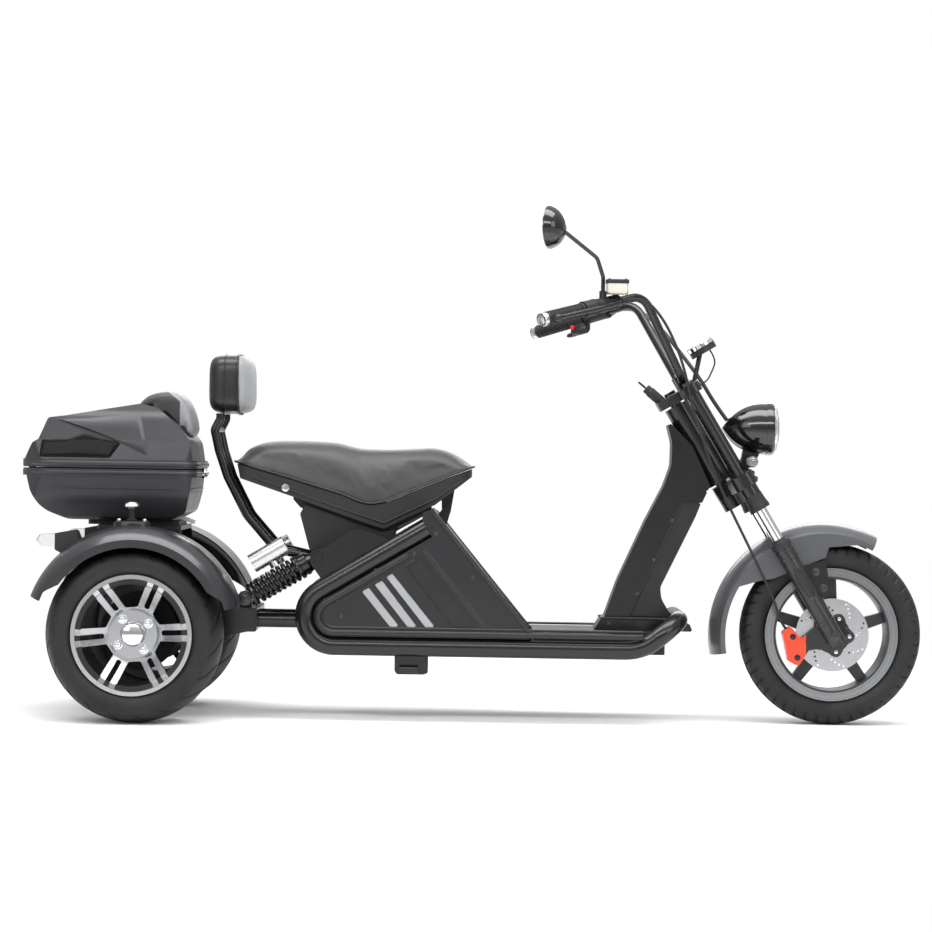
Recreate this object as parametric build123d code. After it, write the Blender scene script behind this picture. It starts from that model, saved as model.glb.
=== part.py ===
from build123d import *
from math import sin, cos, tan, atan2, degrees, radians
import os

os.makedirs("parts", exist_ok=True)

# An electric trike scooter, parked upright with its wheels straight ahead.
# Millimetres. +X is forward, +Y is the rider's left, +Z is up.
# The origin is on the floor, half way along and half way across the vehicle.

# Clearances shared by every piece
FIT = 0.06            # radial play of a shaft that turns in its bore
GAP = 0.3             # play between two pieces that seat on each other
RUN = 6.0             # free space round a wheel or a swinging piece

# Wheels
FRONT_AXLE_X = 904.0
WHEELBASE = 1733.0
TRACK = 585.0
FRONT_TYRE_R = 229.0
FRONT_TYRE_W = 112.0
FRONT_SEAT_R = 154.0
FRONT_FLANGE_R = 168.0
FRONT_RIM_W = 94.0
FRONT_SPOKES = 5
FRONT_AXLE_R = 8.0
REAR_TYRE_R = 217.0
REAR_TYRE_W = 212.0
REAR_SEAT_R = 130.0
REAR_FLANGE_R = 147.0
REAR_RIM_W = 190.0
REAR_SPOKES = 6
REAR_AXLE_R = 15.0
RIM_WALL = 6.0
FLANGE_T = 5.0
DISC_R = 92.0
DISC_T = 4.0

# Steering head and fork
RAKE = 31.0           # lean of the steering axis from upright
FORK_OFFSET = 46.0    # fork legs ahead of the steering axis
FORK_Y = 92.0
FORK_UPPER_R = 16.0
FORK_STANCHION_R = 14.5
FORK_LOWER_R = 23.0
FORK_TOP = 728.0      # heights along the fork, measured from the axle
UPPER_YOKE = 702.0
LOWER_YOKE = 432.0
STANCHION_TOP = 366.0
LEG_TOP = 262.0
YOKE_T = 24.0
STEM_R = 15.0
HEAD_R = 33.0
BAR_R = 11.0
BAR_LIFT = 3.0        # the handlebar's foot clears the fork tops by this much
BAR_HEIGHT = FORK_TOP + BAR_R + BAR_LIFT
GRIP_R = 17.0
GRIP_LENGTH = 118.0
GRIP_END = (160.0, 384.0, 999.0)
BAR_BEND = (406.0, 198.0, 1070.0)
BAR_FOOT_Y = 74.0

# Frame and body
RAIL_R = 24.0
RAIL_Y = 168.0
RAIL_Z = 188.0
RAIL_SLOPE = 31.0     # climb of the upper run of each rail
RAIL_BEND = 73.0
RAIL_BACK_X = -421.0
RAIL_TOP_X = -120.0
RAIL_NOSE = (420.0, 512.0, 262.0)   # start of the rise, front bar x, front bar z
PANEL_T = 12.0
PANEL_Y = 176.0       # inner face of a side panel
COVER_T = 5.0
FRONT_TOP = (-106.0, 530.0)
FRONT_FOOT = (146.0, 218.0)
DECK_TOP = 231.0
COLUMN_W = 92.0
BEAM_GAP = 28.5       # from a rear side plate to the tyre beside it
BEAM_T = 8.0
SHOCK_Y = 130.0
SHOCK_TOP = (-391.0, 408.0)
SHOCK_AHEAD = 257.0   # a shock absorber's foot ahead of the rear axle, and its height
SHOCK_FOOT_Z = 300.0
CROSS_R = 12.0

# Seat and backrest
SEAT_W = 280.0
PAN_WALL = 5.0
SEAT_HINGE = (-74.0, 524.0)
BACKREST_W = 260.0
HOOP_R = 11.0
HOOP_Y = 92.0

# Top case
CASE_BEHIND = 304.0   # the top case's ends behind and ahead of the rear axle
CASE_AHEAD = 134.0
CASE_W = 416.0
CASE_WALL = 5.0
CASE_DEPTH = 109.0    # floor to the underside of the tub's rim
RIM_H = 18.0
LID_GAP = 3.0
LID_RIM_H = 20.0

# Rear fenders
FENDER_T = 4.0
FENDER_CLEAR = 49.0   # crest of a rear fender above its tyre
FENDER_R = REAR_TYRE_R + FENDER_CLEAR
FENDER_SKIRT_R = FENDER_R - 53.0

RACK_Z = REAR_TYRE_R + FENDER_R - 13.0
CASE_FLOOR = RACK_Z + 21.0
CASE_RIM = CASE_FLOOR + CASE_DEPTH
REAR_AXLE_X = FRONT_AXLE_X - WHEELBASE
REAR_Y = TRACK / 2
BEAM_Y = REAR_Y - REAR_TYRE_W / 2 - BEAM_GAP - BEAM_T
SHOCK_FOOT = (REAR_AXLE_X + SHOCK_AHEAD, SHOCK_FOOT_Z)
CASE_BACK = REAR_AXLE_X - CASE_BEHIND
CASE_FRONT = REAR_AXLE_X + CASE_AHEAD
AXLE_Z = FRONT_TYRE_R
REAR_Z = REAR_TYRE_R


def eased(points, radii=0.0):
    """A flat face from corner points, each corner rounded by its own radius."""
    count = len(points)
    if isinstance(radii, (int, float)):
        radii = [radii] * count
    corners = []
    for i in range(count):
        p = Vector(*points[i])
        to_last = Vector(*points[i - 1]) - p
        to_next = Vector(*points[(i + 1) % count]) - p
        half = radians(to_last.get_angle(to_next)) / 2
        room = 0.48 * min(to_last.length, to_next.length)
        reach = min(radii[i] / tan(half), room)
        r = reach * tan(half)
        a = p + to_last.normalized() * reach
        b = p + to_next.normalized() * reach
        middle = (to_last.normalized() + to_next.normalized()).normalized()
        corners.append((a, p + middle * (r / sin(half) - r), b, r))
    edges = []
    for i in range(count):
        a, m, b, r = corners[i]
        if r > 0.01:
            edges.append(ThreePointArc(a, m, b))
        following = corners[(i + 1) % count][0]
        if (following - b).length > 1e-4:
            edges.append(Line(b, following))
    return make_face(edges)


def plate(points, y_from, y_to, radii=0.0):
    """A plate seen from the side: (x, z) corners, carried across from y_from to y_to."""
    return extrude(Plane.XZ.offset(-y_to) * eased(points, radii), y_to - y_from)


def slab(points, z_from, z_to, radii=0.0):
    """A plate seen from above: (x, y) corners, carried up from z_from to z_to."""
    return extrude(Plane.XY.offset(z_from) * eased(points, radii), z_to - z_from)


def turned(profile, x, z, start=0.0, sweep=360.0):
    """A (y, r) profile turned about the cross axis through (x, z), from start degrees above forward."""
    face = profile if isinstance(profile, (Face, Sketch)) else eased(profile)
    a = radians(start)
    plane = Plane(origin=(x, 0, z), x_dir=(0, 1, 0), z_dir=(sin(a), 0, -cos(a)))
    return revolve(plane * face, Axis((x, 0, z), (0, -1, 0)), sweep)


def rod(a, b, r, bore=0.0):
    """A straight round bar from a to b, bored right through where a bore is given."""
    start = Vector(*a)
    way = Vector(*b) - start
    ring = Circle(r) - Circle(bore) if bore else Circle(r)
    return extrude(Plane(origin=start, z_dir=way) * ring, way.length)


def tube(points, radii, r):
    """A bent round bar: straight runs joined by arcs of the given radii."""
    path = FilletPolyline(*points, radius=radii)
    return sweep(Plane(origin=path @ 0, z_dir=path % 0) * Circle(r), path=path)


def both(shape):
    """A piece and its mirror image on the other side."""
    return [shape, mirror(shape, Plane.XZ)]


def save(name, *solids):
    """One named piece, written as its own file."""
    flat = []
    for s in solids:
        flat.extend(s if isinstance(s, (list, tuple)) else [s])
    bodies = [b for s in flat for b in s.solids()]
    export_step(bodies[0] if len(bodies) == 1 else Compound(bodies), f"parts/{name}.step")


def tyre(y_mid, x, r, w, seat_r, seat_w, flange_r):
    """A tyre: straight beads between the rim flanges, round side walls and a crowned tread."""
    h = w / 2
    s = seat_w / 2 - FLANGE_T - GAP
    wide_r = seat_r + 0.55 * (r - seat_r)
    edge_y = 0.84 * h
    edge_r = r - 0.16 * h
    lip = flange_r + 1.0
    edges = [Line((-s, seat_r), (s, seat_r)),
             Line((s, seat_r), (s, lip)),
             ThreePointArc((s, lip), (h, wide_r), (edge_y, edge_r)),
             ThreePointArc((edge_y, edge_r), (0, r), (-edge_y, edge_r)),
             ThreePointArc((-edge_y, edge_r), (-h, wide_r), (-s, lip)),
             Line((-s, lip), (-s, seat_r))]
    return Pos(0, y_mid, 0) * turned(make_face(edges), x, r)


def steer(x, y, z):
    """A point given ahead of the steering axis, across, and up along it from the axle's level."""
    a = radians(RAKE)
    base_x = FRONT_AXLE_X - FORK_OFFSET * cos(a)
    base_z = AXLE_Z - FORK_OFFSET * sin(a)
    return (base_x + x * cos(a) - z * sin(a), y, base_z + x * sin(a) + z * cos(a))


HEAD_PLANE = Plane(origin=steer(0, 0, 0), x_dir=(cos(radians(RAKE)), 0, sin(radians(RAKE))),
                   z_dir=(-sin(radians(RAKE)), 0, cos(radians(RAKE))))


def yoke(points, z_from, z_to, radii=0.0):
    """A plate square to the steering axis: (ahead, across) corners."""
    plane = HEAD_PLANE.offset(z_from)
    return extrude(plane * eased(points, radii), z_to - z_from)


# Front wheel: tyre, five spoke rim with its hub, drilled brake disc on the right
front_seat = FRONT_SEAT_R - GAP
half_rim = FRONT_RIM_W / 2
front_rim = turned([(-half_rim, front_seat - 12), (-half_rim, FRONT_FLANGE_R),
                    (-half_rim + FLANGE_T, FRONT_FLANGE_R), (-half_rim + FLANGE_T, front_seat),
                    (half_rim - FLANGE_T, front_seat), (half_rim - FLANGE_T, FRONT_FLANGE_R),
                    (half_rim, FRONT_FLANGE_R), (half_rim, front_seat - 12),
                    (half_rim - 16, front_seat - 15), (16 - half_rim, front_seat - 15)],
                   FRONT_AXLE_X, AXLE_Z)
HUB_HALF = 57.0
HUB_R = 30.0
spoke = Pos(FRONT_AXLE_X, 0, AXLE_Z) * plate([(20, -19), (front_seat - 13, -13), (front_seat - 13, 13), (20, 19)],
                                             -15, 15)
for k in range(FRONT_SPOKES):
    front_rim += spoke.rotate(Axis((FRONT_AXLE_X, 0, AXLE_Z), (0, -1, 0)), 90 + k * 360 / FRONT_SPOKES)
front_rim += turned([(-HUB_HALF, 0), (-HUB_HALF, 56), (7 - HUB_HALF, 56), (16 - HUB_HALF, HUB_R),
                     (HUB_HALF - 6, HUB_R), (HUB_HALF - 6, 0)], FRONT_AXLE_X, AXLE_Z)
front_rim -= turned([(-80, 0), (-80, FRONT_AXLE_R + FIT), (80, FRONT_AXLE_R + FIT), (80, 0)], FRONT_AXLE_X, AXLE_Z)
save("front_rim", front_rim)
save("front_tyre", tyre(0, FRONT_AXLE_X, FRONT_TYRE_R, FRONT_TYRE_W, FRONT_SEAT_R, FRONT_RIM_W, FRONT_FLANGE_R))
disc_in = -HUB_HALF - GAP
brake_disc = turned([(disc_in, 46), (disc_in - DISC_T, 46), (disc_in - DISC_T, DISC_R), (disc_in, DISC_R)],
                    FRONT_AXLE_X, AXLE_Z)
holes = []
for group in range(8):
    for step in range(4):
        a = radians(group * 45 + step * 7)
        r = 62 + step * 7.5
        x, z = FRONT_AXLE_X + r * cos(a), AXLE_Z + r * sin(a)
        holes.append(rod((x, disc_in + 2, z), (x, disc_in - DISC_T - 2, z), 2.6))
brake_disc -= holes
save("brake_disc", brake_disc)

# Rear wheels: wide tyre, dished six spoke rim with slotted spokes, hub with its brake disc
half_rear = REAR_RIM_W / 2
rim_in = REAR_Y - half_rear
rim_out = REAR_Y + half_rear
rear_seat = REAR_SEAT_R - GAP
barrel_r = rear_seat - RIM_WALL
lip_in = REAR_FLANGE_R - 10
HUB_FACE = rim_out - 56.0
DISH_T = 14.0
rear_rim = turned([(rim_in, barrel_r), (rim_in, REAR_FLANGE_R), (rim_in + FLANGE_T, REAR_FLANGE_R),
                   (rim_in + FLANGE_T, rear_seat), (rim_out - FLANGE_T, rear_seat),
                   (rim_out - FLANGE_T, REAR_FLANGE_R), (rim_out, REAR_FLANGE_R), (rim_out, lip_in),
                   (rim_out - 2.5, lip_in - 1), (rim_out - 2.5, barrel_r)],
                  REAR_AXLE_X, REAR_Z)
dish = turned([(HUB_FACE - DISH_T, 0), (HUB_FACE, 0), (HUB_FACE, 58), (rim_out - 3, barrel_r),
               (rim_out - 0.5, lip_in - 0.5), (rim_out - 4, lip_in - 0.5), (rim_out - 4, barrel_r + 1),
               (rim_out - 8 - DISH_T, barrel_r + 1), (HUB_FACE - DISH_T, 62)],
              REAR_AXLE_X, REAR_Z)
window_in = 68.0
window_out = lip_in - 4
SPOKE_HALF = 21.0
SLOT_W = 13.0
for k in range(REAR_SPOKES):
    mid = 4 + (k + 0.5) * 360 / REAR_SPOKES
    inner = 180 / REAR_SPOKES - degrees(atan2(SPOKE_HALF, window_in))
    outer = 180 / REAR_SPOKES - degrees(atan2(SPOKE_HALF + 2, window_out))
    corners = [(window_in, mid - inner), (window_out, mid - outer), (window_out + 2, mid),
               (window_out, mid + outer), (window_in, mid + inner)]
    cut = [(REAR_AXLE_X + r * cos(radians(a)), REAR_Z + r * sin(radians(a))) for r, a in corners]
    dish -= plate(cut, HUB_FACE - 60, rim_out + 20, [5, 8, 0, 8, 5])
    slot = Pos(REAR_AXLE_X, 0, REAR_Z) * plate([(70, -SLOT_W / 2), (lip_in - 5, -SLOT_W / 2),
                                                (lip_in - 5, SLOT_W / 2), (70, SLOT_W / 2)],
                                               HUB_FACE - 60, rim_out + 20, 5)
    dish -= slot.rotate(Axis((REAR_AXLE_X, 0, REAR_Z), (0, -1, 0)), 4 + k * 360 / REAR_SPOKES)
rear_rim += dish
rear_rim += turned([(HUB_FACE - 1, 0), (HUB_FACE - 1, 31), (HUB_FACE + 14, 29), (HUB_FACE + 20, 22),
                    (HUB_FACE + 20, 0)], REAR_AXLE_X, REAR_Z)
rear_rim -= turned([(0, 0), (0, REAR_AXLE_R + FIT), (HUB_FACE - 3, REAR_AXLE_R + FIT), (HUB_FACE - 3, 0)],
                   REAR_AXLE_X, REAR_Z)
HUB_IN = BEAM_Y + BEAM_T + RUN
rear_hub = turned([(HUB_IN, REAR_AXLE_R + FIT), (HUB_IN, 42), (HUB_IN + 24, 42), (HUB_IN + 24, 96),
                   (HUB_IN + 29, 96), (HUB_IN + 29, 42), (HUB_FACE - DISH_T - GAP, 38),
                   (HUB_FACE - DISH_T - GAP, REAR_AXLE_R + FIT)], REAR_AXLE_X, REAR_Z)
rear_tyre = tyre(REAR_Y, REAR_AXLE_X, REAR_TYRE_R, REAR_TYRE_W, REAR_SEAT_R, REAR_RIM_W, REAR_FLANGE_R)
for name, piece in (("rear_rim", rear_rim), ("rear_hub", rear_hub), ("rear_tyre", rear_tyre)):
    save(name + "_left", piece)
    save(name + "_right", mirror(piece, Plane.XZ))

# Frame: one bent tube runs from under the seat round the floor and back up the other side
slope = radians(RAIL_SLOPE)
rail_apex = RAIL_BACK_X - RAIL_BEND / tan(slope / 2) + RAIL_BEND
rail_top_z = RAIL_Z + (RAIL_TOP_X - rail_apex) * tan(slope)
right_run = [(RAIL_TOP_X, -RAIL_Y, rail_top_z), (rail_apex, -RAIL_Y, RAIL_Z),
             (RAIL_NOSE[0], -RAIL_Y, RAIL_Z), (RAIL_NOSE[1], -RAIL_Y, RAIL_NOSE[2])]
left_run = [(x, -y, z) for x, y, z in reversed(right_run)]
bends = [RAIL_BEND, 120, 68, 68, 120, RAIL_BEND]
save("frame_rails", tube(right_run + left_run, bends, RAIL_R))


def rail_line(x, side):
    """Height of the upper run of a rail at x: side is +1 for its upper edge, -1 for its lower edge."""
    return RAIL_Z + (x - rail_apex) * tan(slope) + side * (RAIL_R + GAP) / cos(slope)


# Floor board: a tray between the rails with a wider top that lies on them
rail_top = RAIL_Z + RAIL_R + GAP
deck_y = RAIL_Y - RAIL_R - 1.0
deck_back = FRONT_FOOT[0] + 2
pan_back = -296.0
deck = slab([(pan_back, -deck_y), (478, -deck_y), (478, deck_y), (pan_back, deck_y)], RAIL_Z - 12, rail_top, 10)
deck += slab([(deck_back, -RAIL_Y), (368, -RAIL_Y), (392, -deck_y), (478, -deck_y), (478, deck_y), (392, deck_y),
              (368, RAIL_Y), (deck_back, RAIL_Y)], rail_top, DECK_TOP, [4, 20, 20, 30, 30, 20, 20, 4])
save("floor_board", deck)

# Side panels close the body between the rails and the sloping front, with a sunk field and three slots
foot_in = (rail_apex + (RAIL_R + GAP) / tan(slope / 2), rail_top)
end = (RAIL_TOP_X + GAP * cos(slope), rail_top_z + GAP * sin(slope))
panel_edge = [foot_in, (FRONT_FOOT[0], rail_top), FRONT_TOP, (FRONT_TOP[0] - 24, FRONT_TOP[1] - 6),
              (end[0] - RAIL_R * sin(slope), end[1] + RAIL_R * cos(slope)),
              (end[0] + (RAIL_R + GAP) * sin(slope), end[1] - (RAIL_R + GAP) * cos(slope))]
panel_out = PANEL_Y + PANEL_T
panel = plate(panel_edge, PANEL_Y, panel_out, [RAIL_BEND - RAIL_R - GAP, 4, 10, 4, 0, 0])
FIELD = [(-173, 388), (-136, 416), (18, 234), (-50, 234)]
panel -= plate(FIELD, panel_out - 5, panel_out + 1, 10)
SLATS = [[(-279, 324), (-262, 334), (-184, 238), (-208, 238)],
         [(-248, 342), (-229, 352), (-140, 238), (-164, 238)],
         [(-219, 361), (-204, 370), (-95, 238), (-120, 238)]]
slats = []
for points in SLATS:
    panel -= plate(points, panel_out - 5, panel_out + 1, 4)
    inset = offset(eased(points, 4), amount=-GAP)
    slats.append(extrude(Plane.XZ.offset(-(panel_out - 1)) * inset, 4 - GAP))
save("side_panels", both(panel))
save("panel_slats", [piece for s in slats for piece in both(s)])

# Sloping front cover between the side panels, with a lip that runs back under the seat
run = Vector(*FRONT_FOOT) - Vector(*FRONT_TOP)
inward = Vector(run.Y, -run.X).normalized() * COVER_T
cover_y = PANEL_Y - GAP
LIP_BACK = (-192.0, 486.0)
cover = plate([FRONT_TOP, FRONT_FOOT, (FRONT_FOOT[0] + inward.X, FRONT_FOOT[1] + inward.Y),
               (FRONT_TOP[0] + inward.X - 2, FRONT_TOP[1] + inward.Y - 4), (LIP_BACK[0], LIP_BACK[1] - COVER_T),
               LIP_BACK], -cover_y, cover_y)

# Battery: one plain block low in the body
BATTERY = (-290.0, -20.0, rail_top + GAP, 362.0)
BATTERY_Y = 140.0
save("battery_pack", plate([(BATTERY[0], BATTERY[2]), (BATTERY[1], BATTERY[2]), (BATTERY[1], BATTERY[3]),
                            (BATTERY[0], BATTERY[3])], -BATTERY_Y, BATTERY_Y, 6))

# Under-seat tray: an open box whose top edge follows the seat pan above it
tray_floor = SHOCK_TOP[1] + CROSS_R + GAP
TRAY = [(-428, 537), (-440, 513), (-414, tray_floor), (-210, tray_floor), (-200, 478), (-236, 470)]
TRAY_Y = 100.0
TRAY_WALL = 4.0
tray = plate(TRAY, -TRAY_Y, TRAY_Y, [4, 8, 8, 8, 2, 8])
tray -= plate([(-423, 560), (-435, 511), (-410, tray_floor + TRAY_WALL), (-214, tray_floor + TRAY_WALL), (-205, 500),
               (-205, 560)],
              TRAY_WALL - TRAY_Y, TRAY_Y - TRAY_WALL, [0, 6, 6, 6, 0, 0])
save("under_seat_tray", tray)

# Gusset plates stand on the rails and carry the shock absorbers; lugs below carry the rear arm
gusset = plate([(-382, rail_line(-382, 1)), (-412, 396), (-404, 424), (-371, 432), (-309, 476), (-278, 478),
                (-216, rail_line(-216, 1))], RAIL_Y - 4, RAIL_Y + 4, [0, 14, 14, 8, 14, 14, 0])
PIVOT = (-324.0, 246.0)
PIVOT_R = 20.0
lug = plate([(PIVOT[0] - 24, rail_top), (PIVOT[0] + 32, rail_top), (PIVOT[0] + 22, 272), (PIVOT[0] - 20, 272)],
            RAIL_Y - 8, RAIL_Y + 4, [0, 0, 16, 16])
lug -= rod((PIVOT[0], 0, PIVOT[1]), (PIVOT[0], 300, PIVOT[1]), 10 + GAP)
carrier_bar = rod((SHOCK_TOP[0], -RAIL_Y - 12, SHOCK_TOP[1]), (SHOCK_TOP[0], RAIL_Y + 12, SHOCK_TOP[1]), CROSS_R)
gusset -= rod((SHOCK_TOP[0], 0, SHOCK_TOP[1]), (SHOCK_TOP[0], 300, SHOCK_TOP[1]), CROSS_R + GAP)
save("frame_gussets", carrier_bar, both(gusset), both(lug))

# Rear arm: two tubes from the frame, a cross box, and side plates out to the axle
arm = rod((PIVOT[0], -RAIL_Y - 4, PIVOT[1]), (PIVOT[0], RAIL_Y + 4, PIVOT[1]), 10)
arm += rod((PIVOT[0], 8 + GAP - RAIL_Y, PIVOT[1]), (PIVOT[0], RAIL_Y - 8 - GAP, PIVOT[1]), PIVOT_R)
BOX_BACK = REAR_AXLE_X + 208
BOX_FRONT = BOX_BACK + 80
for y in (-95, 95):
    arm += rod((PIVOT[0], y, PIVOT[1]), (BOX_FRONT - 10, y, PIVOT[1]), 19)
arm += plate([(BOX_BACK, 218), (BOX_FRONT, 218), (BOX_FRONT, 278), (BOX_BACK, 278)], -BEAM_Y, BEAM_Y, 6)
eye_lug = plate([(SHOCK_FOOT[0] - 16, 276), (SHOCK_FOOT[0] + 16, 276), (SHOCK_FOOT[0] + 14, SHOCK_FOOT[1] + 16),
                 (SHOCK_FOOT[0] - 14, SHOCK_FOOT[1] + 16)], SHOCK_Y - 31, SHOCK_Y - 24, 0)
for piece in both(eye_lug):
    arm += piece
for piece in both(rod((SHOCK_FOOT[0], SHOCK_Y - 33, SHOCK_FOOT[1]), (SHOCK_FOOT[0], SHOCK_Y + 18, SHOCK_FOOT[1]), 10)):
    arm += piece
SIDE = [(BOX_FRONT - 6, 222), (BOX_FRONT - 6, 274), (REAR_AXLE_X + 110, 300), (REAR_AXLE_X + 96, RACK_Z),
        (REAR_AXLE_X - 112, RACK_Z), (REAR_AXLE_X - 112, RACK_Z - 30), (REAR_AXLE_X - 62, RACK_Z - 70), (REAR_AXLE_X - 62, 172),
        (REAR_AXLE_X + 52, 172)]
side = plate(SIDE, BEAM_Y - 1, BEAM_Y + BEAM_T, [6, 6, 40, 8, 8, 8, 30, 30, 30])
side -= rod((REAR_AXLE_X, 0, REAR_Z), (REAR_AXLE_X, 400, REAR_Z), 34 + GAP)
deck_side = BEAM_Y + BEAM_T
rack = slab([(REAR_AXLE_X - 112, -deck_side), (REAR_AXLE_X + 96, -deck_side), (REAR_AXLE_X + 96, deck_side),
             (REAR_AXLE_X - 112, deck_side)], RACK_Z - 2, RACK_Z + 9, 10)
stay_r = FENDER_R - 4 - FENDER_T - GAP
stay_y = REAR_Y + 7.5
stay = turned([(deck_side - 1, stay_r - 5), (stay_y, stay_r - 5), (stay_y, stay_r), (deck_side - 1, stay_r)],
              REAR_AXLE_X, REAR_Z, 78, 24)
for piece in both(side) + [rack] + both(stay):
    arm += piece
save("rear_carrier", arm)

# Rear axle with its differential, and the drive motor ahead of it
axle = rod((REAR_AXLE_X, GAP - HUB_IN + RUN, REAR_Z), (REAR_AXLE_X, HUB_IN - RUN - GAP, REAR_Z), 34)
axle += rod((REAR_AXLE_X, -HUB_FACE + 6, REAR_Z), (REAR_AXLE_X, HUB_FACE - 6, REAR_Z), REAR_AXLE_R)
axle += turned([(-58, 0), (-58, 62), (-30, 84), (30, 84), (58, 62), (58, 0)], REAR_AXLE_X, REAR_Z)
MOTOR_X = REAR_AXLE_X + 138
MOTOR_Z = REAR_Z + 20
MOTOR_R = 50.0
axle += plate([(REAR_AXLE_X, REAR_Z - 44), (MOTOR_X, MOTOR_Z - 34), (MOTOR_X, MOTOR_Z + 34), (REAR_AXLE_X, REAR_Z + 44)],
              -36, 36)
motor_y = BEAM_Y - 32
motor = turned([(-motor_y, 0), (-motor_y, MOTOR_R - 8), (8 - motor_y, MOTOR_R), (motor_y - 8, MOTOR_R),
                (motor_y, MOTOR_R - 8), (motor_y, 0)],
               MOTOR_X, MOTOR_Z)
axle -= turned([(-motor_y - 1, 0), (-motor_y - 1, MOTOR_R + GAP), (motor_y + 1, MOTOR_R + GAP), (motor_y + 1, 0)],
               MOTOR_X, MOTOR_Z)
save("rear_axle", axle, motor)

# Shock absorbers: ribbed spring body between two eyes, with a gas bottle strapped above each
foot = Vector(SHOCK_FOOT[0], SHOCK_Y, SHOCK_FOOT[1])
head = Vector(SHOCK_TOP[0], SHOCK_Y, SHOCK_TOP[1])
way = head - foot
shock_plane = Plane(origin=foot, x_dir=(0, 1, 0), z_dir=Vector(0, 1, 0).cross(way))
span = way.length
COIL_R = 31.0
CORE_R = 22.0
COILS = 9
ribs = [(0, 14), (CORE_R, 14), (CORE_R, 24)]
pitch = (span - 56) / COILS
for k in range(COILS):
    z = 24 + k * pitch
    ribs += [(CORE_R + 3, z + 0.1 * pitch), (COIL_R, z + 0.3 * pitch), (COIL_R, z + 0.6 * pitch),
             (CORE_R + 3, z + 0.8 * pitch), (CORE_R, z + pitch)]
ribs += [(CORE_R, span - 20), (0, span - 20)]
shock = revolve(shock_plane * make_face(Polyline(*ribs, close=True)), Axis(foot, way), 360)
shock += rod(foot - Vector(0, 16, 0), foot + Vector(0, 16, 0), 19)
shock += rod(head - Vector(0, 15, 0), head + Vector(0, 15, 0), 21)
shock -= rod(foot - Vector(0, 40, 0), foot + Vector(0, 40, 0), 10 + GAP)
shock -= rod(head - Vector(0, 40, 0), head + Vector(0, 40, 0), CROSS_R + GAP)
save("shock_absorbers", both(shock))
up = Vector(-way.Z, 0, way.X).normalized()
BOTTLE_R = 24.0
bottle_mid = head - way.normalized() * 105 + up * (COIL_R + BOTTLE_R + 11)
along = way.normalized() * 48
bottle = rod(bottle_mid - along, bottle_mid + along, BOTTLE_R)
bottle += rod(bottle_mid - up * (BOTTLE_R - 3), bottle_mid - up * (BOTTLE_R + 11), 12)
bottle -= rod(foot, head, COIL_R + GAP)
save("shock_bottles", both(bottle))

# Stand bracket under the right rail, with a cross-drilled barrel
BARREL_R = 10.0
BARREL_BORE = 5.0
BARREL = (-160.0, 132.0)
bracket_y = -RAIL_Y + 18
barrel_y = bracket_y - 7 - BARREL_BORE
bracket = plate([(-196, RAIL_Z - 12), (-112, RAIL_Z - 12), (-112, 122), (-124, 118), (-190, 118), (-196, 128)],
                bracket_y - 6, bracket_y, [0, 0, 6, 6, 8, 6])
bracket += rod((BARREL[0] - 24, barrel_y, BARREL[1]), (BARREL[0] + 24, barrel_y, BARREL[1]), BARREL_R)
bracket -= rod((BARREL[0] - 25, barrel_y, BARREL[1]), (BARREL[0] + 25, barrel_y, BARREL[1]), BARREL_BORE)
bracket -= rod((-420, -RAIL_Y, RAIL_Z), (420, -RAIL_Y, RAIL_Z), RAIL_R + GAP)
save("stand_bracket", bracket)

# Steering column: a pressed post that leans forward to the head tube, with a screwed cover on its front
column_y = COLUMN_W / 2
SEAM_TOP = (523.0, 558.0)
SEAM_FOOT = (392.0, 267.0)
POST = [(478, 768), (494, 706), (493, 650), (475, 598), (430, 509), (362, 358), (327, 258), (388, 258), SEAM_TOP,
        (572, 556), (592, 600), (545, 700)]
post = plate(POST, -column_y, column_y, [6, 60, 60, 60, 200, 300, 0, 0, 0, 6, 6, 0])
head_low = LOWER_YOKE + YOKE_T + 10 + RUN
head_high = UPPER_YOKE - RUN
post -= rod(steer(0, 0, head_low - 60), steer(0, 0, head_high + 60), HEAD_R)
post = post.solids().sort_by(SortBy.VOLUME)[-1]
post -= yoke([(-HEAD_R - 13, -200), (400, -200), (400, 200), (-HEAD_R - 13, 200)], head_low - 100, head_low)
post += rod(steer(0, 0, head_low), steer(0, 0, head_high), HEAD_R, STEM_R + FIT)
NOSE = [(SEAM_TOP[0] + GAP, SEAM_TOP[1] - GAP), (SEAM_FOOT[0] + GAP, SEAM_FOOT[1]), (500, 267), (473, 313), (470, 341),
        (497, 397), (556, 520), (570, 556 - GAP)]
nose_bar = rod((RAIL_NOSE[1], -300, RAIL_NOSE[2]), (RAIL_NOSE[1], 300, RAIL_NOSE[2]), RAIL_R + GAP)
column_cover = plate(NOSE, 4 - column_y, column_y - 4, [0, 0, 4, 40, 30, 200, 100, 4]) - nose_bar
save("column_cover", column_cover.solids().sort_by(SortBy.VOLUME)[-1])
COLLAR = [(302, DECK_TOP + GAP), (552, DECK_TOP + GAP), (545, 249), (508, 266), (324, 266)]
collar = plate(COLLAR, -column_y - 16, column_y + 16, [4, 4, 6, 6, 10]) - nose_bar
post += collar.solids().sort_by(SortBy.VOLUME)[-1]
save("steering_column", post)

# Fork: two yokes on a stem, upper tubes, bright stanchions and lower legs
def leg_point(side, z):
    """A point on a fork leg at height z along it."""
    return steer(FORK_OFFSET, side * FORK_Y, z)


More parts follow.
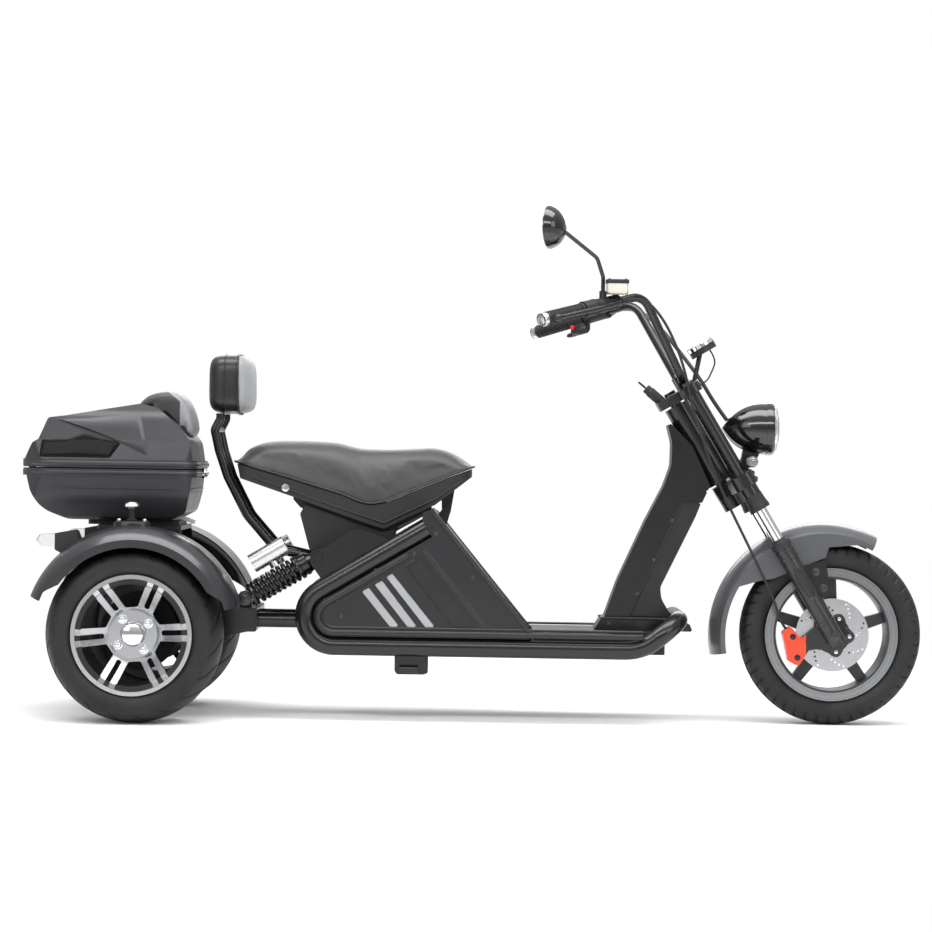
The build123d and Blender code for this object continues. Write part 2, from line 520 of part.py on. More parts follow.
lower_top = LOWER_YOKE + YOKE_T + 10
lower_yoke = yoke([(-28, -24), (4, -64), (20, -FORK_Y - 30), (76, -FORK_Y - 30), (76, FORK_Y + 30), (20, FORK_Y + 30), (4, 64),
                   (-28, 24)], LOWER_YOKE, lower_top, [14, 0, 24, 26, 26, 24, 0, 14])
lower_yoke += rod(steer(0, 0, LOWER_YOKE - 34), steer(0, 0, LOWER_YOKE + 1), 28)
lower_yoke += rod(steer(0, 0, LOWER_YOKE), steer(0, 0, FORK_TOP + 6), STEM_R)
upper_yoke = yoke([(-44, -26), (16, -FORK_Y - 26), (72, -FORK_Y - 26), (72, FORK_Y + 26), (16, FORK_Y + 26), (-44, 26)],
                  UPPER_YOKE, UPPER_YOKE + YOKE_T, [20, 22, 24, 24, 22, 20])
BAR_AHEAD = 40.0
for side in (-1, 1):
    lower_yoke += rod(leg_point(side, STANCHION_TOP + 2), leg_point(side, LOWER_YOKE + 1), 23)
    lower_yoke -= rod(leg_point(side, STANCHION_TOP - 20), leg_point(side, lower_top + 20), FORK_UPPER_R + GAP)
    upper_yoke -= rod(leg_point(side, UPPER_YOKE - 20), leg_point(side, FORK_TOP + 60), FORK_UPPER_R + GAP)
    upper_yoke += yoke([(BAR_AHEAD - 16, side * 34 - 14), (BAR_AHEAD + 16, side * 34 - 14),
                        (BAR_AHEAD + 16, side * 34 + 14), (BAR_AHEAD - 16, side * 34 + 14)],
                       UPPER_YOKE + YOKE_T - 1, BAR_HEIGHT + 16, 3)
upper_yoke -= rod(steer(0, 0, UPPER_YOKE - 20), steer(0, 0, FORK_TOP + 60), STEM_R + GAP)
upper_yoke -= rod(steer(BAR_AHEAD, -80, BAR_HEIGHT), steer(BAR_AHEAD, 80, BAR_HEIGHT), BAR_R + GAP)
save("lower_yoke", lower_yoke)
save("upper_yoke", upper_yoke)
save("fork_tubes", [rod(leg_point(s, STANCHION_TOP), leg_point(s, FORK_TOP), FORK_UPPER_R) for s in (-1, 1)])
save("fork_stanchions", [rod(leg_point(s, LEG_TOP + GAP), leg_point(s, STANCHION_TOP - GAP), FORK_STANCHION_R)
                         for s in (-1, 1)])
axle_cut = rod((FRONT_AXLE_X, -300, AXLE_Z), (FRONT_AXLE_X, 300, AXLE_Z), FRONT_AXLE_R + GAP)
legs = [rod(leg_point(s, -24), leg_point(s, LEG_TOP), FORK_LOWER_R) - axle_cut for s in (-1, 1)]
leg_out = FORK_Y + FORK_LOWER_R + GAP
front_axle = rod((FRONT_AXLE_X, -leg_out - 1, AXLE_Z), (FRONT_AXLE_X, leg_out + 1, AXLE_Z), FRONT_AXLE_R)
for side in (-1, 1):
    front_axle += rod((FRONT_AXLE_X, side * leg_out, AXLE_Z), (FRONT_AXLE_X, side * (leg_out + 8), AXLE_Z), 13)
save("fork_legs", legs)
save("front_axle", front_axle)

# Front brake caliper over the disc's trailing edge, on a bracket from the right leg
CALIPER = [(-128, 6), (-108, 22), (-58, -34), (-86, -80), (-112, -66)]
caliper = Pos(FRONT_AXLE_X, 0, AXLE_Z) * plate(CALIPER, disc_in - DISC_T - 24, disc_in + 12, [8, 8, 10, 12, 10])
caliper += Pos(FRONT_AXLE_X, 0, AXLE_Z) * plate([(-80, -10), (-80, -44), (-16, -30), (0, 30), (-20, 40)],
                                                disc_in - DISC_T - 18, disc_in - DISC_T - 11, 6)
caliper -= turned([(disc_in + 4, 0), (disc_in + 4, DISC_R + 5), (disc_in - DISC_T - 4, DISC_R + 5),
                   (disc_in - DISC_T - 4, 0)], FRONT_AXLE_X, AXLE_Z)
caliper -= rod(leg_point(-1, -60), leg_point(-1, LEG_TOP), FORK_LOWER_R + GAP)
caliper -= rod((FRONT_AXLE_X, -300, AXLE_Z), (FRONT_AXLE_X, 300, AXLE_Z), 13 + GAP)
save("brake_caliper", caliper.solids().sort_by(SortBy.VOLUME)[-1])

# Front fender: a crowned strip over the wheel with a deeper skirt beside each fork leg
GUARD_CLEAR = 59.0
GUARD_R = FRONT_TYRE_R + GUARD_CLEAR
guard_x = FRONT_AXLE_X - 20
guard_z = AXLE_Z - 7
guard_y = FORK_Y - FORK_LOWER_R - GAP
g = FENDER_T
guard_face = make_face([Line((-guard_y, GUARD_R - 38), (-guard_y, GUARD_R - 26)),
                        ThreePointArc((-guard_y, GUARD_R - 26), (0, GUARD_R), (guard_y, GUARD_R - 26)),
                        Line((guard_y, GUARD_R - 26), (guard_y, GUARD_R - 38)),
                        Line((guard_y, GUARD_R - 38), (guard_y - g, GUARD_R - 38)),
                        Line((guard_y - g, GUARD_R - 38), (guard_y - g, GUARD_R - 26 - g)),
                        ThreePointArc((guard_y - g, GUARD_R - 26 - g), (0, GUARD_R - g),
                                      (g - guard_y, GUARD_R - 26 - g)),
                        Line((g - guard_y, GUARD_R - 26 - g), (g - guard_y, GUARD_R - 38)),
                        Line((g - guard_y, GUARD_R - 38), (-guard_y, GUARD_R - 38))])
guard = turned(guard_face, guard_x, guard_z, 62, 128)
SKIRT = [(GUARD_R - 38, 150), (GUARD_R - 70, 140), (GUARD_R - 91, 132), (GUARD_R - 86, 90), (GUARD_R - 60, 88),
         (GUARD_R - 38, 70), (GUARD_R - 28, 76), (GUARD_R - 28, 90), (GUARD_R - 28, 118), (GUARD_R - 28, 146)]
skirt = [(guard_x + r * cos(radians(a)), guard_z + r * sin(radians(a))) for r, a in SKIRT]
for piece in both(plate(skirt, guard_y - g, guard_y)):
    guard += piece
save("front_fender", guard)

# Headlamp: a bullet shell with a domed lens, on a bracket that also carries the front indicators
LAMP_R = 65.0
LAMP_BACK = 623.0
LAMP_FRONT = 752.0
LAMP_Z = 746.0
lamp_axis = Axis((0, 0, LAMP_Z), (1, 0, 0))
arc = ThreePointArc((LAMP_BACK, LAMP_Z), (LAMP_BACK + 38, LAMP_Z + 0.7 * LAMP_R), (LAMP_FRONT - 16, LAMP_Z + LAMP_R))
shell = revolve(Plane.XZ * make_face([arc, Line(arc @ 1, (LAMP_FRONT, LAMP_Z + LAMP_R)),
                                      Line((LAMP_FRONT, LAMP_Z + LAMP_R), (LAMP_FRONT, LAMP_Z)),
                                      Line((LAMP_FRONT, LAMP_Z), (LAMP_BACK, LAMP_Z))]), lamp_axis, 360)
lens_x = LAMP_FRONT + GAP
dome = eased([(lens_x, LAMP_Z), (lens_x, LAMP_Z + LAMP_R - 4), (lens_x + 8, LAMP_Z + LAMP_R - 10),
              (lens_x + 14, LAMP_Z + 0.4 * LAMP_R), (lens_x + 14, LAMP_Z)], [0, 1, 20, 40, 0])
lens = revolve(Plane.XZ * dome, lamp_axis, 360)
save("headlamp_shell", shell)
save("headlamp_lens", lens)
yoke_front = steer(76, 0, lower_top)
bracket_x = yoke_front[0]
lamp_bracket = plate([(bracket_x - 24, yoke_front[2] - 16), (bracket_x + 6, yoke_front[2] - 8),
                      (bracket_x + 30, LAMP_Z - 0.9 * LAMP_R), (bracket_x + 16, LAMP_Z - 0.7 * LAMP_R),
                      (bracket_x - 12, LAMP_Z - 0.7 * LAMP_R)], -14, 14, 4)
lamp_bracket += rod((bracket_x + 2, -72, yoke_front[2] + 18), (bracket_x + 2, 72, yoke_front[2] + 18), 6)
for side in (-1, 1):
    lamp_bracket += rod((bracket_x + 2, side * 70, yoke_front[2] + 18), (bracket_x + 2, side * 112, yoke_front[2] + 18), 14)
lamp_bracket -= shell
lamp_bracket -= yoke([(-200, -200), (200, -200), (200, 200), (-200, 200)], lower_top - 60, lower_top + GAP)
for side in (-1, 1):
    lamp_bracket -= rod(leg_point(side, STANCHION_TOP), leg_point(side, FORK_TOP), FORK_UPPER_R + GAP)
save("headlamp_bracket", lamp_bracket.solids().sort_by(SortBy.VOLUME)[-1])

# Handlebar: a pulled-back bar in the upper yoke's risers, with grips, bar ends, controls and levers
foot_y = BAR_FOOT_Y
bar_foot = steer(BAR_AHEAD, foot_y, BAR_HEIGHT)
left_bar = [GRIP_END, BAR_BEND, bar_foot]
right_bar = [(x, -y, z) for x, y, z in reversed(left_bar)]
bar = tube(left_bar + right_bar, [60, 36, 36, 60], BAR_R)
grip_start = Vector(*GRIP_END)
inwards = (Vector(*BAR_BEND) - grip_start).normalized()
outboard = Vector(-inwards.Y, inwards.X, 0).normalized()


def on_bar(s, out=0.0, lift=0.0):
    """A point s along the left grip from its end, moved ahead of the bar and up."""
    return grip_start + inwards * s + outboard * out + Vector(0, 0, lift)


save("grips", both(rod(on_bar(1 + GAP), on_bar(GRIP_LENGTH), GRIP_R, BAR_R + GAP)))
for piece in both(rod(on_bar(-14), on_bar(1), GRIP_R - 1)):
    bar += piece
save("handlebar", bar)
PERCH = (160.0, 232.0)
PERCH_R = 18.0
BOSS_R = 9.0
BOSS_BORE = 4.0
BOSS_AT = 184.0
perch = rod(on_bar(PERCH[0]), on_bar(PERCH[1]), PERCH_R)
perch += rod(on_bar(214), on_bar(224, 30), 9)
perch += rod(on_bar(BOSS_AT, 0, 8), on_bar(BOSS_AT, 0, 34), BOSS_R)
perch -= rod(on_bar(0), on_bar(300), BAR_R + GAP)
switch = rod(on_bar(GRIP_LENGTH + 3), on_bar(PERCH[0] - 4), 20, BAR_R + GAP)
boss_cut = rod(on_bar(BOSS_AT, 0, PERCH_R + 2), on_bar(BOSS_AT, 0, 60), BOSS_BORE)
left_perch = perch - boss_cut
right_perch = mirror(perch - boss_cut, Plane.XZ)
tank_mid = on_bar(212, 22, 38)
tank = Pos(tank_mid.X, -tank_mid.Y, tank_mid.Z) * Box(50, 40, 34)
tank -= mirror(rod(on_bar(PERCH[0] - 20), on_bar(PERCH[1] + 20), PERCH_R + GAP), Plane.XZ)
tank -= mirror(rod(on_bar(BOSS_AT), on_bar(BOSS_AT, 0, 60), BOSS_R + GAP), Plane.XZ)
save("bar_controls", left_perch, right_perch, both(switch), tank.solids().sort_by(SortBy.VOLUME)[-1])
lever = tube([on_bar(226, 36), on_bar(150, 46), on_bar(16, 38)], [60], 5.5)
lever -= rod(on_bar(214), on_bar(224, 30), 9 + GAP)
save("brake_levers", both(lever.solids().sort_by(SortBy.VOLUME)[-1]))

# Mirror on the right only: a bent stem into the boss and a domed head that faces back and inward
MIRROR_R = 53.0
MIRROR_DEPTH = 40.0
boss_top = on_bar(BOSS_AT, 0, 34 + GAP)
mirror_mid = Vector(168, 306, 1227)
face_dir = Vector(-cos(radians(20)), -sin(radians(20)), 0)
stem_end = mirror_mid - face_dir * (MIRROR_DEPTH * 0.62)
stem = tube([boss_top, boss_top + Vector(0, 0, 34), boss_top + Vector(-16, 14, 80), stem_end], [24, 30], 5)
glass_plane = Plane(origin=mirror_mid, x_dir=(0, 0, 1), z_dir=face_dir)
bowl_edge = ThreePointArc((0, -MIRROR_DEPTH), (0.72 * MIRROR_R, -0.68 * MIRROR_DEPTH), (MIRROR_R, -3))
bowl_face = make_face([bowl_edge, Line((MIRROR_R, -3), (MIRROR_R, 0)), Line((MIRROR_R, 0), (0, 0)),
                       Line((0, 0), (0, -MIRROR_DEPTH))])
bowl_plane = Plane(origin=mirror_mid, x_dir=(0, 0, 1), z_dir=Vector(0, 0, 1).cross(face_dir))
bowl = revolve(bowl_plane * bowl_face, Axis(mirror_mid, face_dir), 360)
save("mirror_head", mirror(bowl + stem, Plane.XZ))
save("mirror_glass", mirror(extrude(glass_plane.offset(GAP) * Circle(MIRROR_R - 4), 1.5), Plane.XZ))

# Speedometer: a tilted dial on a strut from the upper yoke
dial_ahead = 129.0
dial_z = 776.0
dial = rod(steer(dial_ahead, 0, dial_z), steer(dial_ahead, 0, dial_z + 24), 35)
strut = rod(steer(64, 0, UPPER_YOKE + YOKE_T - 6), steer(dial_ahead - 12, 0, dial_z + 3), 6)
strut -= yoke([(-100, -100), (100, -100), (100, 100), (-100, 100)], UPPER_YOKE - 20, UPPER_YOKE + YOKE_T + GAP)
save("speedometer", dial + strut)

# Control lines: the brake hose to the caliper, the left wiring sleeve to the headlamp and the dial's thin wire
HOSE_R = 3.5
SLEEVE_R = 5.0
WIRE_R = 2.0


def across(p):
    """A left-hand point moved to the right."""
    return Vector(p.X, -p.Y, p.Z)


hose = [across(on_bar(PERCH[1] + 2.2 * GAP, 17)), across(on_bar(290, 26, 4)), Vector(462, -190, 1010), Vector(512, -150, 905),
        Vector(536, -132, 800), Vector(566, -125, 714), Vector(598, -122, 620), Vector(706, -120, 409),
        Vector(752, -104, 318), Vector(770, -76, 264), Vector(785.6, -72, 243.6)]
sleeve = [on_bar(PERCH[1] + GAP, 18.5), on_bar(290, 28, 2), Vector(470, 180, 1012), Vector(530, 118, 930),
          Vector(572, 66, 870), Vector(604, 40, 812), Vector(635.96, 13.28, 766.93)]
wire = [Vector(*steer(dial_ahead + 16, 10, dial_z - GAP)), Vector(*steer(dial_ahead + 18, 10, dial_z - 30)),
        Vector(596, 12, 890), Vector(582, 12, 862), Vector(*steer(72 + 2 * GAP, 12, UPPER_YOKE + 10))]
save("control_lines", tube(hose, [40] * 8 + [30], HOSE_R), tube(sleeve, [50] * 5, SLEEVE_R), tube(wire, [18] * 3, WIRE_R))

# Seat: a hollow pan on a hinge under its nose, with a stepped cushion
PAN_TOP = [(-598, 636), (-472, 601), (-329, 559), (-293, 543), (-261, 537), (-226, 544), (-168, 569), (-79, 606),
           (-4, 634)]
PAN_LOW = [(-4, 617), (-101, 541), (-229, 479), (-265, 490), (-346, 518), (-467, 559), (-590, 600)]
seat_y = SEAT_W / 2
pan = plate(PAN_TOP + PAN_LOW, -seat_y, seat_y)
inside = [(-586, 627), (-472, 593), (-329, 551), (-293, 535), (-261, 529), (-226, 536), (-168, 561), (-79, 598),
          (-14, 622), (-14, 560), (-101, 500), (-229, 440), (-467, 500), (-586, 560)]


def seat_plan(grow):
    """The seat seen from above: broad under the passenger and narrower at the nose."""
    w = seat_y + grow
    return slab([(-620, -w), (-300, -w + 12), (-4 + grow, -w + 48), (-4 + grow, w - 48), (-300, w - 12), (-620, w)],
                400, 800, [60, 200, 50, 50, 200, 60])


pan = (pan & seat_plan(-6)) - (plate(inside, -seat_y, seat_y) & seat_plan(-6 - PAN_WALL))
PIN_R = 5.0
KNUCKLE = 14.0
pan += plate([(SEAT_HINGE[0] - 14, 599), (SEAT_HINGE[0] + 26, 614), (SEAT_HINGE[0] + 11, SEAT_HINGE[1] - 4),
              (SEAT_HINGE[0] + 6, SEAT_HINGE[1] - 11), (SEAT_HINGE[0] - 6, SEAT_HINGE[1] - 11),
              (SEAT_HINGE[0] - 11, SEAT_HINGE[1] - 4)], -KNUCKLE, KNUCKLE, [0, 0, 4, 4, 4, 4])
pan -= rod((SEAT_HINGE[0], -50, SEAT_HINGE[1]), (SEAT_HINGE[0], 50, SEAT_HINGE[1]), PIN_R + FIT)
save("seat_pan", pan)
CUSHION_TOP = [(-4, 640), (-41, 668), (-73, 683), (-136, 681), (-290, 675), (-317, 680), (-349, 694), (-535, 694),
               (-571, 676), (-600, 642)]
cushion = plate([(x, z + GAP) for x, z in PAN_TOP] + CUSHION_TOP, -seat_y, seat_y) & seat_plan(0)
save("seat_cushion", cushion)
hinge = rod((SEAT_HINGE[0], -KNUCKLE - 10, SEAT_HINGE[1]), (SEAT_HINGE[0], KNUCKLE + 10, SEAT_HINGE[1]), PIN_R)
for side in (-1, 1):
    mid = side * (KNUCKLE + 5)
    hinge += plate([(SEAT_HINGE[0] - 40, SEAT_HINGE[1] - 34), (SEAT_HINGE[0] + 2, SEAT_HINGE[1] - 34),
                    (SEAT_HINGE[0] + 11, SEAT_HINGE[1]), (SEAT_HINGE[0] + 8, SEAT_HINGE[1] + 8),
                    (SEAT_HINGE[0] - 8, SEAT_HINGE[1] + 8)], mid - 4, mid + 4, [0, 4, 4, 4, 4])
hinge -= plate([FRONT_TOP, FRONT_FOOT, (-400, FRONT_FOOT[1]), (-400, FRONT_TOP[1])], -60, 60)
save("front_cover", cover + hinge)

# Passenger backrest: a padded shell on two bent tubes from the shock crossbar
back_y = BACKREST_W / 2
BACK_SEAM = SHOCK_TOP[0] - 209
back_z = SHOCK_TOP[1] + 354
SHELL = [(0, 0), (0, 150), (-40, 152), (-70, 146), (-78, 98), (-78, 28), (-66, 0)]
save("backrest_shell", plate([(BACK_SEAM + x, back_z + z) for x, z in SHELL], -back_y, back_y,
                             [4, 6, 10, 14, 20, 20, 10]))
BACK_PAD = [(0, 2), (0, 147), (18, 140), (32, 118), (36, 76), (26, 18), (14, 4)]
save("backrest_pad", plate([(BACK_SEAM + GAP + x, back_z + z) for x, z in BACK_PAD], -back_y, back_y,
                           [2, 2, 10, 10, 20, 12, 6]))
HOOP_RUN = [(-253, 354 - GAP), (-253, 340), (-267, 312), (-255, 260), (-233, 196), (-183, 100), (-109, 16),
            (-CROSS_R - 2.6, -5)]
HOOP = [(SHOCK_TOP[0] + x, SHOCK_TOP[1] + z) for x, z in HOOP_RUN]
hoop_legs = both(tube([(x, HOOP_Y, z) for x, z in HOOP], [12, 14, 40, 60, 80, 60], HOOP_R))
hoop = hoop_legs[0] + hoop_legs[1]
hoop += rod((HOOP[2][0] + 3, -HOOP_Y, HOOP[2][1] + 2), (HOOP[2][0] + 3, HOOP_Y, HOOP[2][1] + 2), HOOP_R - 2)
save("backrest_hoop", hoop)

# Rear fenders over the wide tyres, and the plate that the top case clips to
mount_y = deck_side - 38
mount = slab([(CASE_FRONT - 274, -mount_y), (CASE_FRONT - 47, -mount_y), (CASE_FRONT - 47, mount_y),
              (CASE_FRONT - 274, mount_y)], RACK_Z + 9 + GAP, CASE_FLOOR - GAP, 12)
fender_in = deck_side + 34
fender_out = REAR_Y + REAR_TYRE_W / 2 + RUN + 3 + FENDER_T
t = FENDER_T
CREST_Y = REAR_Y + 47.5
DROP = 34.0
turn_r = ((fender_out - CREST_Y) ** 2 + DROP ** 2) / (2 * DROP)
turn_end = degrees(atan2(fender_out - CREST_Y, turn_r - DROP))


def shoulder(r, angle):
    """A point on the fender's rounded shoulder."""
    a = radians(angle)
    return (CREST_Y + r * sin(a), FENDER_R - turn_r + r * cos(a))


fender_face = make_face([Line((fender_in, FENDER_R - 4), shoulder(turn_r, 0)),
                         ThreePointArc(shoulder(turn_r, 0), shoulder(turn_r, turn_end / 2), shoulder(turn_r, turn_end)),
                         Line(shoulder(turn_r, turn_end), (fender_out, FENDER_SKIRT_R)),
                         Line((fender_out, FENDER_SKIRT_R), (fender_out - t, FENDER_SKIRT_R)),
                         Line((fender_out - t, FENDER_SKIRT_R), shoulder(turn_r - t, turn_end)),
                         ThreePointArc(shoulder(turn_r - t, turn_end), shoulder(turn_r - t, turn_end / 2),
                                       shoulder(turn_r - t, 0)),
                         Line(shoulder(turn_r - t, 0), (fender_in, FENDER_R - 4 - t)),
                         Line((fender_in, FENDER_R - 4 - t), (fender_in, FENDER_R - 4))])
FENDER_START = 16.0
FENDER_SWEEP = 144.0


def on_fender(r, angle):
    """A point seen from the side, r from the rear axle and angle degrees above forward."""
    return (REAR_AXLE_X + r * cos(radians(angle)), REAR_Z + r * sin(radians(angle)))


fender = turned(fender_face, REAR_AXLE_X, REAR_Z, FENDER_START, FENDER_SWEEP)
for edge, way in ((FENDER_START, 1), (FENDER_START + FENDER_SWEEP, -1)):
    corner = [(FENDER_SKIRT_R - 30, edge - 12 * way), (FENDER_R - 24, edge - 12 * way), (FENDER_R - 24, edge + 4 * way),
              (FENDER_SKIRT_R + 1, edge + 14 * way), (FENDER_SKIRT_R - 30, edge + 18 * way)]
    fender -= plate([on_fender(r, a) for r, a in corner], fender_out - 8, fender_out + 5, [0, 0, 50, 0, 0])
save("rear_fenders", both(fender))

# Tail lamps behind the fenders, and a bright cap on an oval plate on top of each
LAMP_Y = (REAR_Y - 24.5, REAR_Y + 39.5)
fender_cut = turned([(0, 0), (500, 0), (500, FENDER_R + GAP), (0, FENDER_R + GAP)], REAR_AXLE_X, REAR_Z)
TAIL = -0.733
HOUSING = [(TAIL, 0.914), (TAIL, 0.763), (TAIL + 0.15, 0.688), (TAIL + 0.263, 0.763), (TAIL + 0.188, 0.951)]
housing = plate([(REAR_AXLE_X + x * FENDER_R, REAR_Z + z * FENDER_R) for x, z in HOUSING], LAMP_Y[0], LAMP_Y[1],
                [3, 3, 8, 8, 8]) - fender_cut
save("tail_lamps", both(housing))
LENS = [(0, 0.906), (0, 0.789), (-35, 0.797), (-46, 0.85), (-37, 0.902)]
save("tail_lenses", both(plate([(REAR_AXLE_X + TAIL * FENDER_R - GAP + x, REAR_Z + z * FENDER_R) for x, z in LENS],
                               LAMP_Y[0] + 2, LAMP_Y[1] - 2, 3)))
CAP = (REAR_AXLE_X - 8, REAR_Y + 37.5)
cap_z = REAR_Z + FENDER_R
cap = slab([(CAP[0] - 43, CAP[1] - 26), (CAP[0] + 43, CAP[1] - 26), (CAP[0] + 43, CAP[1] + 26), (CAP[0] - 43, CAP[1] + 26)],
           cap_z - 8, cap_z + 12, 25)
cap += rod((CAP[0], CAP[1], cap_z + 10), (CAP[0], CAP[1], cap_z + 44), 7)
cap += rod((CAP[0], CAP[1], cap_z + 42), (CAP[0], CAP[1], cap_z + 56), 17)
cap -= fender_cut
save("fender_caps", both(cap))

# Top case: a hollow tub with a rolled rim, and a hinged lid with a sloping back and a pad at its front
case_y = CASE_W / 2
case_plan = eased([(CASE_BACK, -case_y), (CASE_FRONT, -case_y), (CASE_FRONT, case_y), (CASE_BACK, case_y)],
                  [90, 50, 50, 90])
TUB_SIDE = [(CASE_BACK + 14, CASE_RIM + 1), (CASE_BACK + 26, CASE_FLOOR + 69), (CASE_BACK + 56, CASE_FLOOR + 25),
            (CASE_BACK + 119, CASE_FLOOR), (CASE_FRONT - 66, CASE_FLOOR), (CASE_FRONT - 26, CASE_FLOOR + 21),
            (CASE_FRONT - 15, CASE_FLOOR + 69), (CASE_FRONT - 10, CASE_RIM + 1)]
tub_side = eased(TUB_SIDE, [0, 60, 80, 60, 30, 20, 40, 0])
tub_end = eased([(58 - case_y, CASE_FLOOR), (case_y - 58, CASE_FLOOR), (case_y - 16, CASE_FLOOR + 49),
                 (case_y - 6, CASE_RIM + 1), (6 - case_y, CASE_RIM + 1), (16 - case_y, CASE_FLOOR + 49)],
                [30, 30, 60, 0, 0, 60])


def case_form(side, end, shrink):
    """The shape common to a side view, an end view and the case's plan, drawn in by shrink."""
    faces = [offset(f, amount=-shrink) if shrink else f for f in (side, end, case_plan)]
    return (extrude(Plane.XZ.offset(-case_y) * faces[0], CASE_W)
            & extrude(Plane.YZ.offset(CASE_BACK) * faces[1], CASE_FRONT - CASE_BACK)
            & extrude(Plane.XY.offset(400) * faces[2], 500))


tub = case_form(tub_side, tub_end, 0) + extrude(Plane.XY.offset(CASE_RIM) * case_plan, RIM_H)
tub -= case_form(tub_side, tub_end, CASE_WALL)
tub -= extrude(Plane.XY.offset(CASE_RIM - CASE_WALL - 6) * offset(case_plan, amount=-CASE_WALL - 18), RIM_H + 40)
lid_z = CASE_RIM + RIM_H + LID_GAP
lid_rim = lid_z + LID_RIM_H
LID_SIDE = [(CASE_BACK + 8, lid_rim - 1), (CASE_BACK + 30, lid_rim + 40), (CASE_BACK + 46, lid_rim + 49),
            (CASE_BACK + 66, lid_rim + 103), (CASE_BACK + 111, lid_rim + 109), (CASE_FRONT - 147, lid_rim + 142),
            (CASE_FRONT - 102, lid_rim + 131), (CASE_FRONT - 50, lid_rim + 89), (CASE_FRONT - 17, lid_rim + 49),
            (CASE_FRONT - 8, lid_rim - 1)]
lid_side = eased(LID_SIDE, [0, 8, 8, 10, 20, 20, 30, 60, 30, 0])
lid_end = eased([(6 - case_y, lid_rim - 1), (case_y - 6, lid_rim - 1), (case_y - 18, lid_rim + 49),
                 (case_y - 52, lid_rim + 119), (case_y - 118, lid_rim + 149), (118 - case_y, lid_rim + 149),
                 (52 - case_y, lid_rim + 119), (18 - case_y, lid_rim + 49)], [0, 0, 40, 60, 60, 60, 60, 40])
lid_outer = case_form(lid_side, lid_end, 0)
lid = lid_outer + extrude(Plane.XY.offset(lid_z) * case_plan, LID_RIM_H)
lid -= case_form(lid_side, lid_end, CASE_WALL)
lid -= extrude(Plane.XY.offset(lid_z - 1) * offset(case_plan, amount=-CASE_WALL - 18), LID_RIM_H + 6)
CASE_PIN_R = 3.5
CASE_PIN = (CASE_BACK + 6.5, lid_z - LID_GAP / 2)
notch = slab([(CASE_BACK - 5, -22), (CASE_PIN[0] + 8, -22), (CASE_PIN[0] + 8, 22), (CASE_BACK - 5, 22)],
             CASE_PIN[1] - 9, CASE_PIN[1] + 9)
bevel = (CASE_PIN[0] - CASE_BACK + 1) * tan(radians(42))
tub -= notch + plate([CASE_PIN, (CASE_PIN[0], CASE_PIN[1] + 9), (CASE_BACK - 1, CASE_PIN[1] + 9),
                      (CASE_BACK - 1, CASE_PIN[1] - bevel)], -case_y, case_y)
lid -= notch + plate([CASE_PIN, (CASE_PIN[0], CASE_PIN[1] - 9), (CASE_BACK - 1, CASE_PIN[1] - 9),
                      (CASE_BACK - 1, CASE_PIN[1] + bevel)], -case_y, case_y)
tub += rod((CASE_PIN[0], -22, CASE_PIN[1]), (CASE_PIN[0], 22, CASE_PIN[1]), CASE_PIN_R)
for side in (-1, 1):
    tub += rod((CASE_PIN[0], side * 15, CASE_PIN[1]), (CASE_PIN[0], side * 22, CASE_PIN[1]), 6.5)
    tub += plate([(CASE_PIN[0] - 4, CASE_PIN[1]), (CASE_PIN[0] + 4, CASE_PIN[1]), (CASE_PIN[0] + 5, CASE_PIN[1] - 10),
                  (CASE_PIN[0] - 3, CASE_PIN[1] - 10)], min(side * 15, side * 22), max(side * 15, side * 22))
knuckle = rod((CASE_PIN[0], -14, CASE_PIN[1]), (CASE_PIN[0], 14, CASE_PIN[1]), 6.5)
knuckle += plate([(CASE_PIN[0] - 4, CASE_PIN[1]), (CASE_PIN[0] + 4, CASE_PIN[1]), (CASE_PIN[0] + 5, CASE_PIN[1] + 10),
                  (CASE_PIN[0] - 3, CASE_PIN[1] + 10)], -14, 14)
lid += knuckle
lid -= rod((CASE_PIN[0], -60, CASE_PIN[1]), (CASE_PIN[0], 60, CASE_PIN[1]), CASE_PIN_R + FIT)
save("case_tub", tub)
save("case_lid", lid)
PAD = [(-163, 133), (-151, 148), (-120, 166), (-71, 171), (-45, 157), (-22, 120), (-12, 75), (-27, 53), (-65, 49)]
PAD_Y = 96.0
pad = plate([(CASE_FRONT + x, lid_rim + z) for x, z in PAD], -PAD_Y, PAD_Y, [0, 6, 14, 14, 20, 30, 12, 0, 0])
pad -= offset(lid_outer.solids()[0], amount=GAP)
save("lid_pad", pad.solids().sort_by(SortBy.VOLUME)[-1])
save("case_fittings", mount, rod((CASE_FRONT + GAP, 0, CASE_RIM + 9), (CASE_FRONT + 12, 0, CASE_RIM + 9), 8))
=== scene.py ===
from math import cos, pi, radians, sin
import bmesh
import bpy
import numpy as np
from mathutils import Matrix, Vector


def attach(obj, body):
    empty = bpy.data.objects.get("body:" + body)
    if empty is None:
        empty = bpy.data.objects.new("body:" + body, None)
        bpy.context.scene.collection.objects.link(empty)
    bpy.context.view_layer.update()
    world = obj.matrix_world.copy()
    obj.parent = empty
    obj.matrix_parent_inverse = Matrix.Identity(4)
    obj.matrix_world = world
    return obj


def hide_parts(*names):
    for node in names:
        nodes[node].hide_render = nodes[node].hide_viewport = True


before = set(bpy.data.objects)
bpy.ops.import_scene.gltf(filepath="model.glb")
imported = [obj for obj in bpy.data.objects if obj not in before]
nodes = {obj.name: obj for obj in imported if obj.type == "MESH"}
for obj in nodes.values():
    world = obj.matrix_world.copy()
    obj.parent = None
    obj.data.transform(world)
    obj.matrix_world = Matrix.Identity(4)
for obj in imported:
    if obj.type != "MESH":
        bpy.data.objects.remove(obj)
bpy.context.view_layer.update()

# Studio: a white paper floor under large soft lamps, with the camera square to the
# vehicle's right side. Sizes are millimetres in every section and become metres in the mesh.
scene = bpy.context.scene
scene.view_settings.view_transform = "Standard"
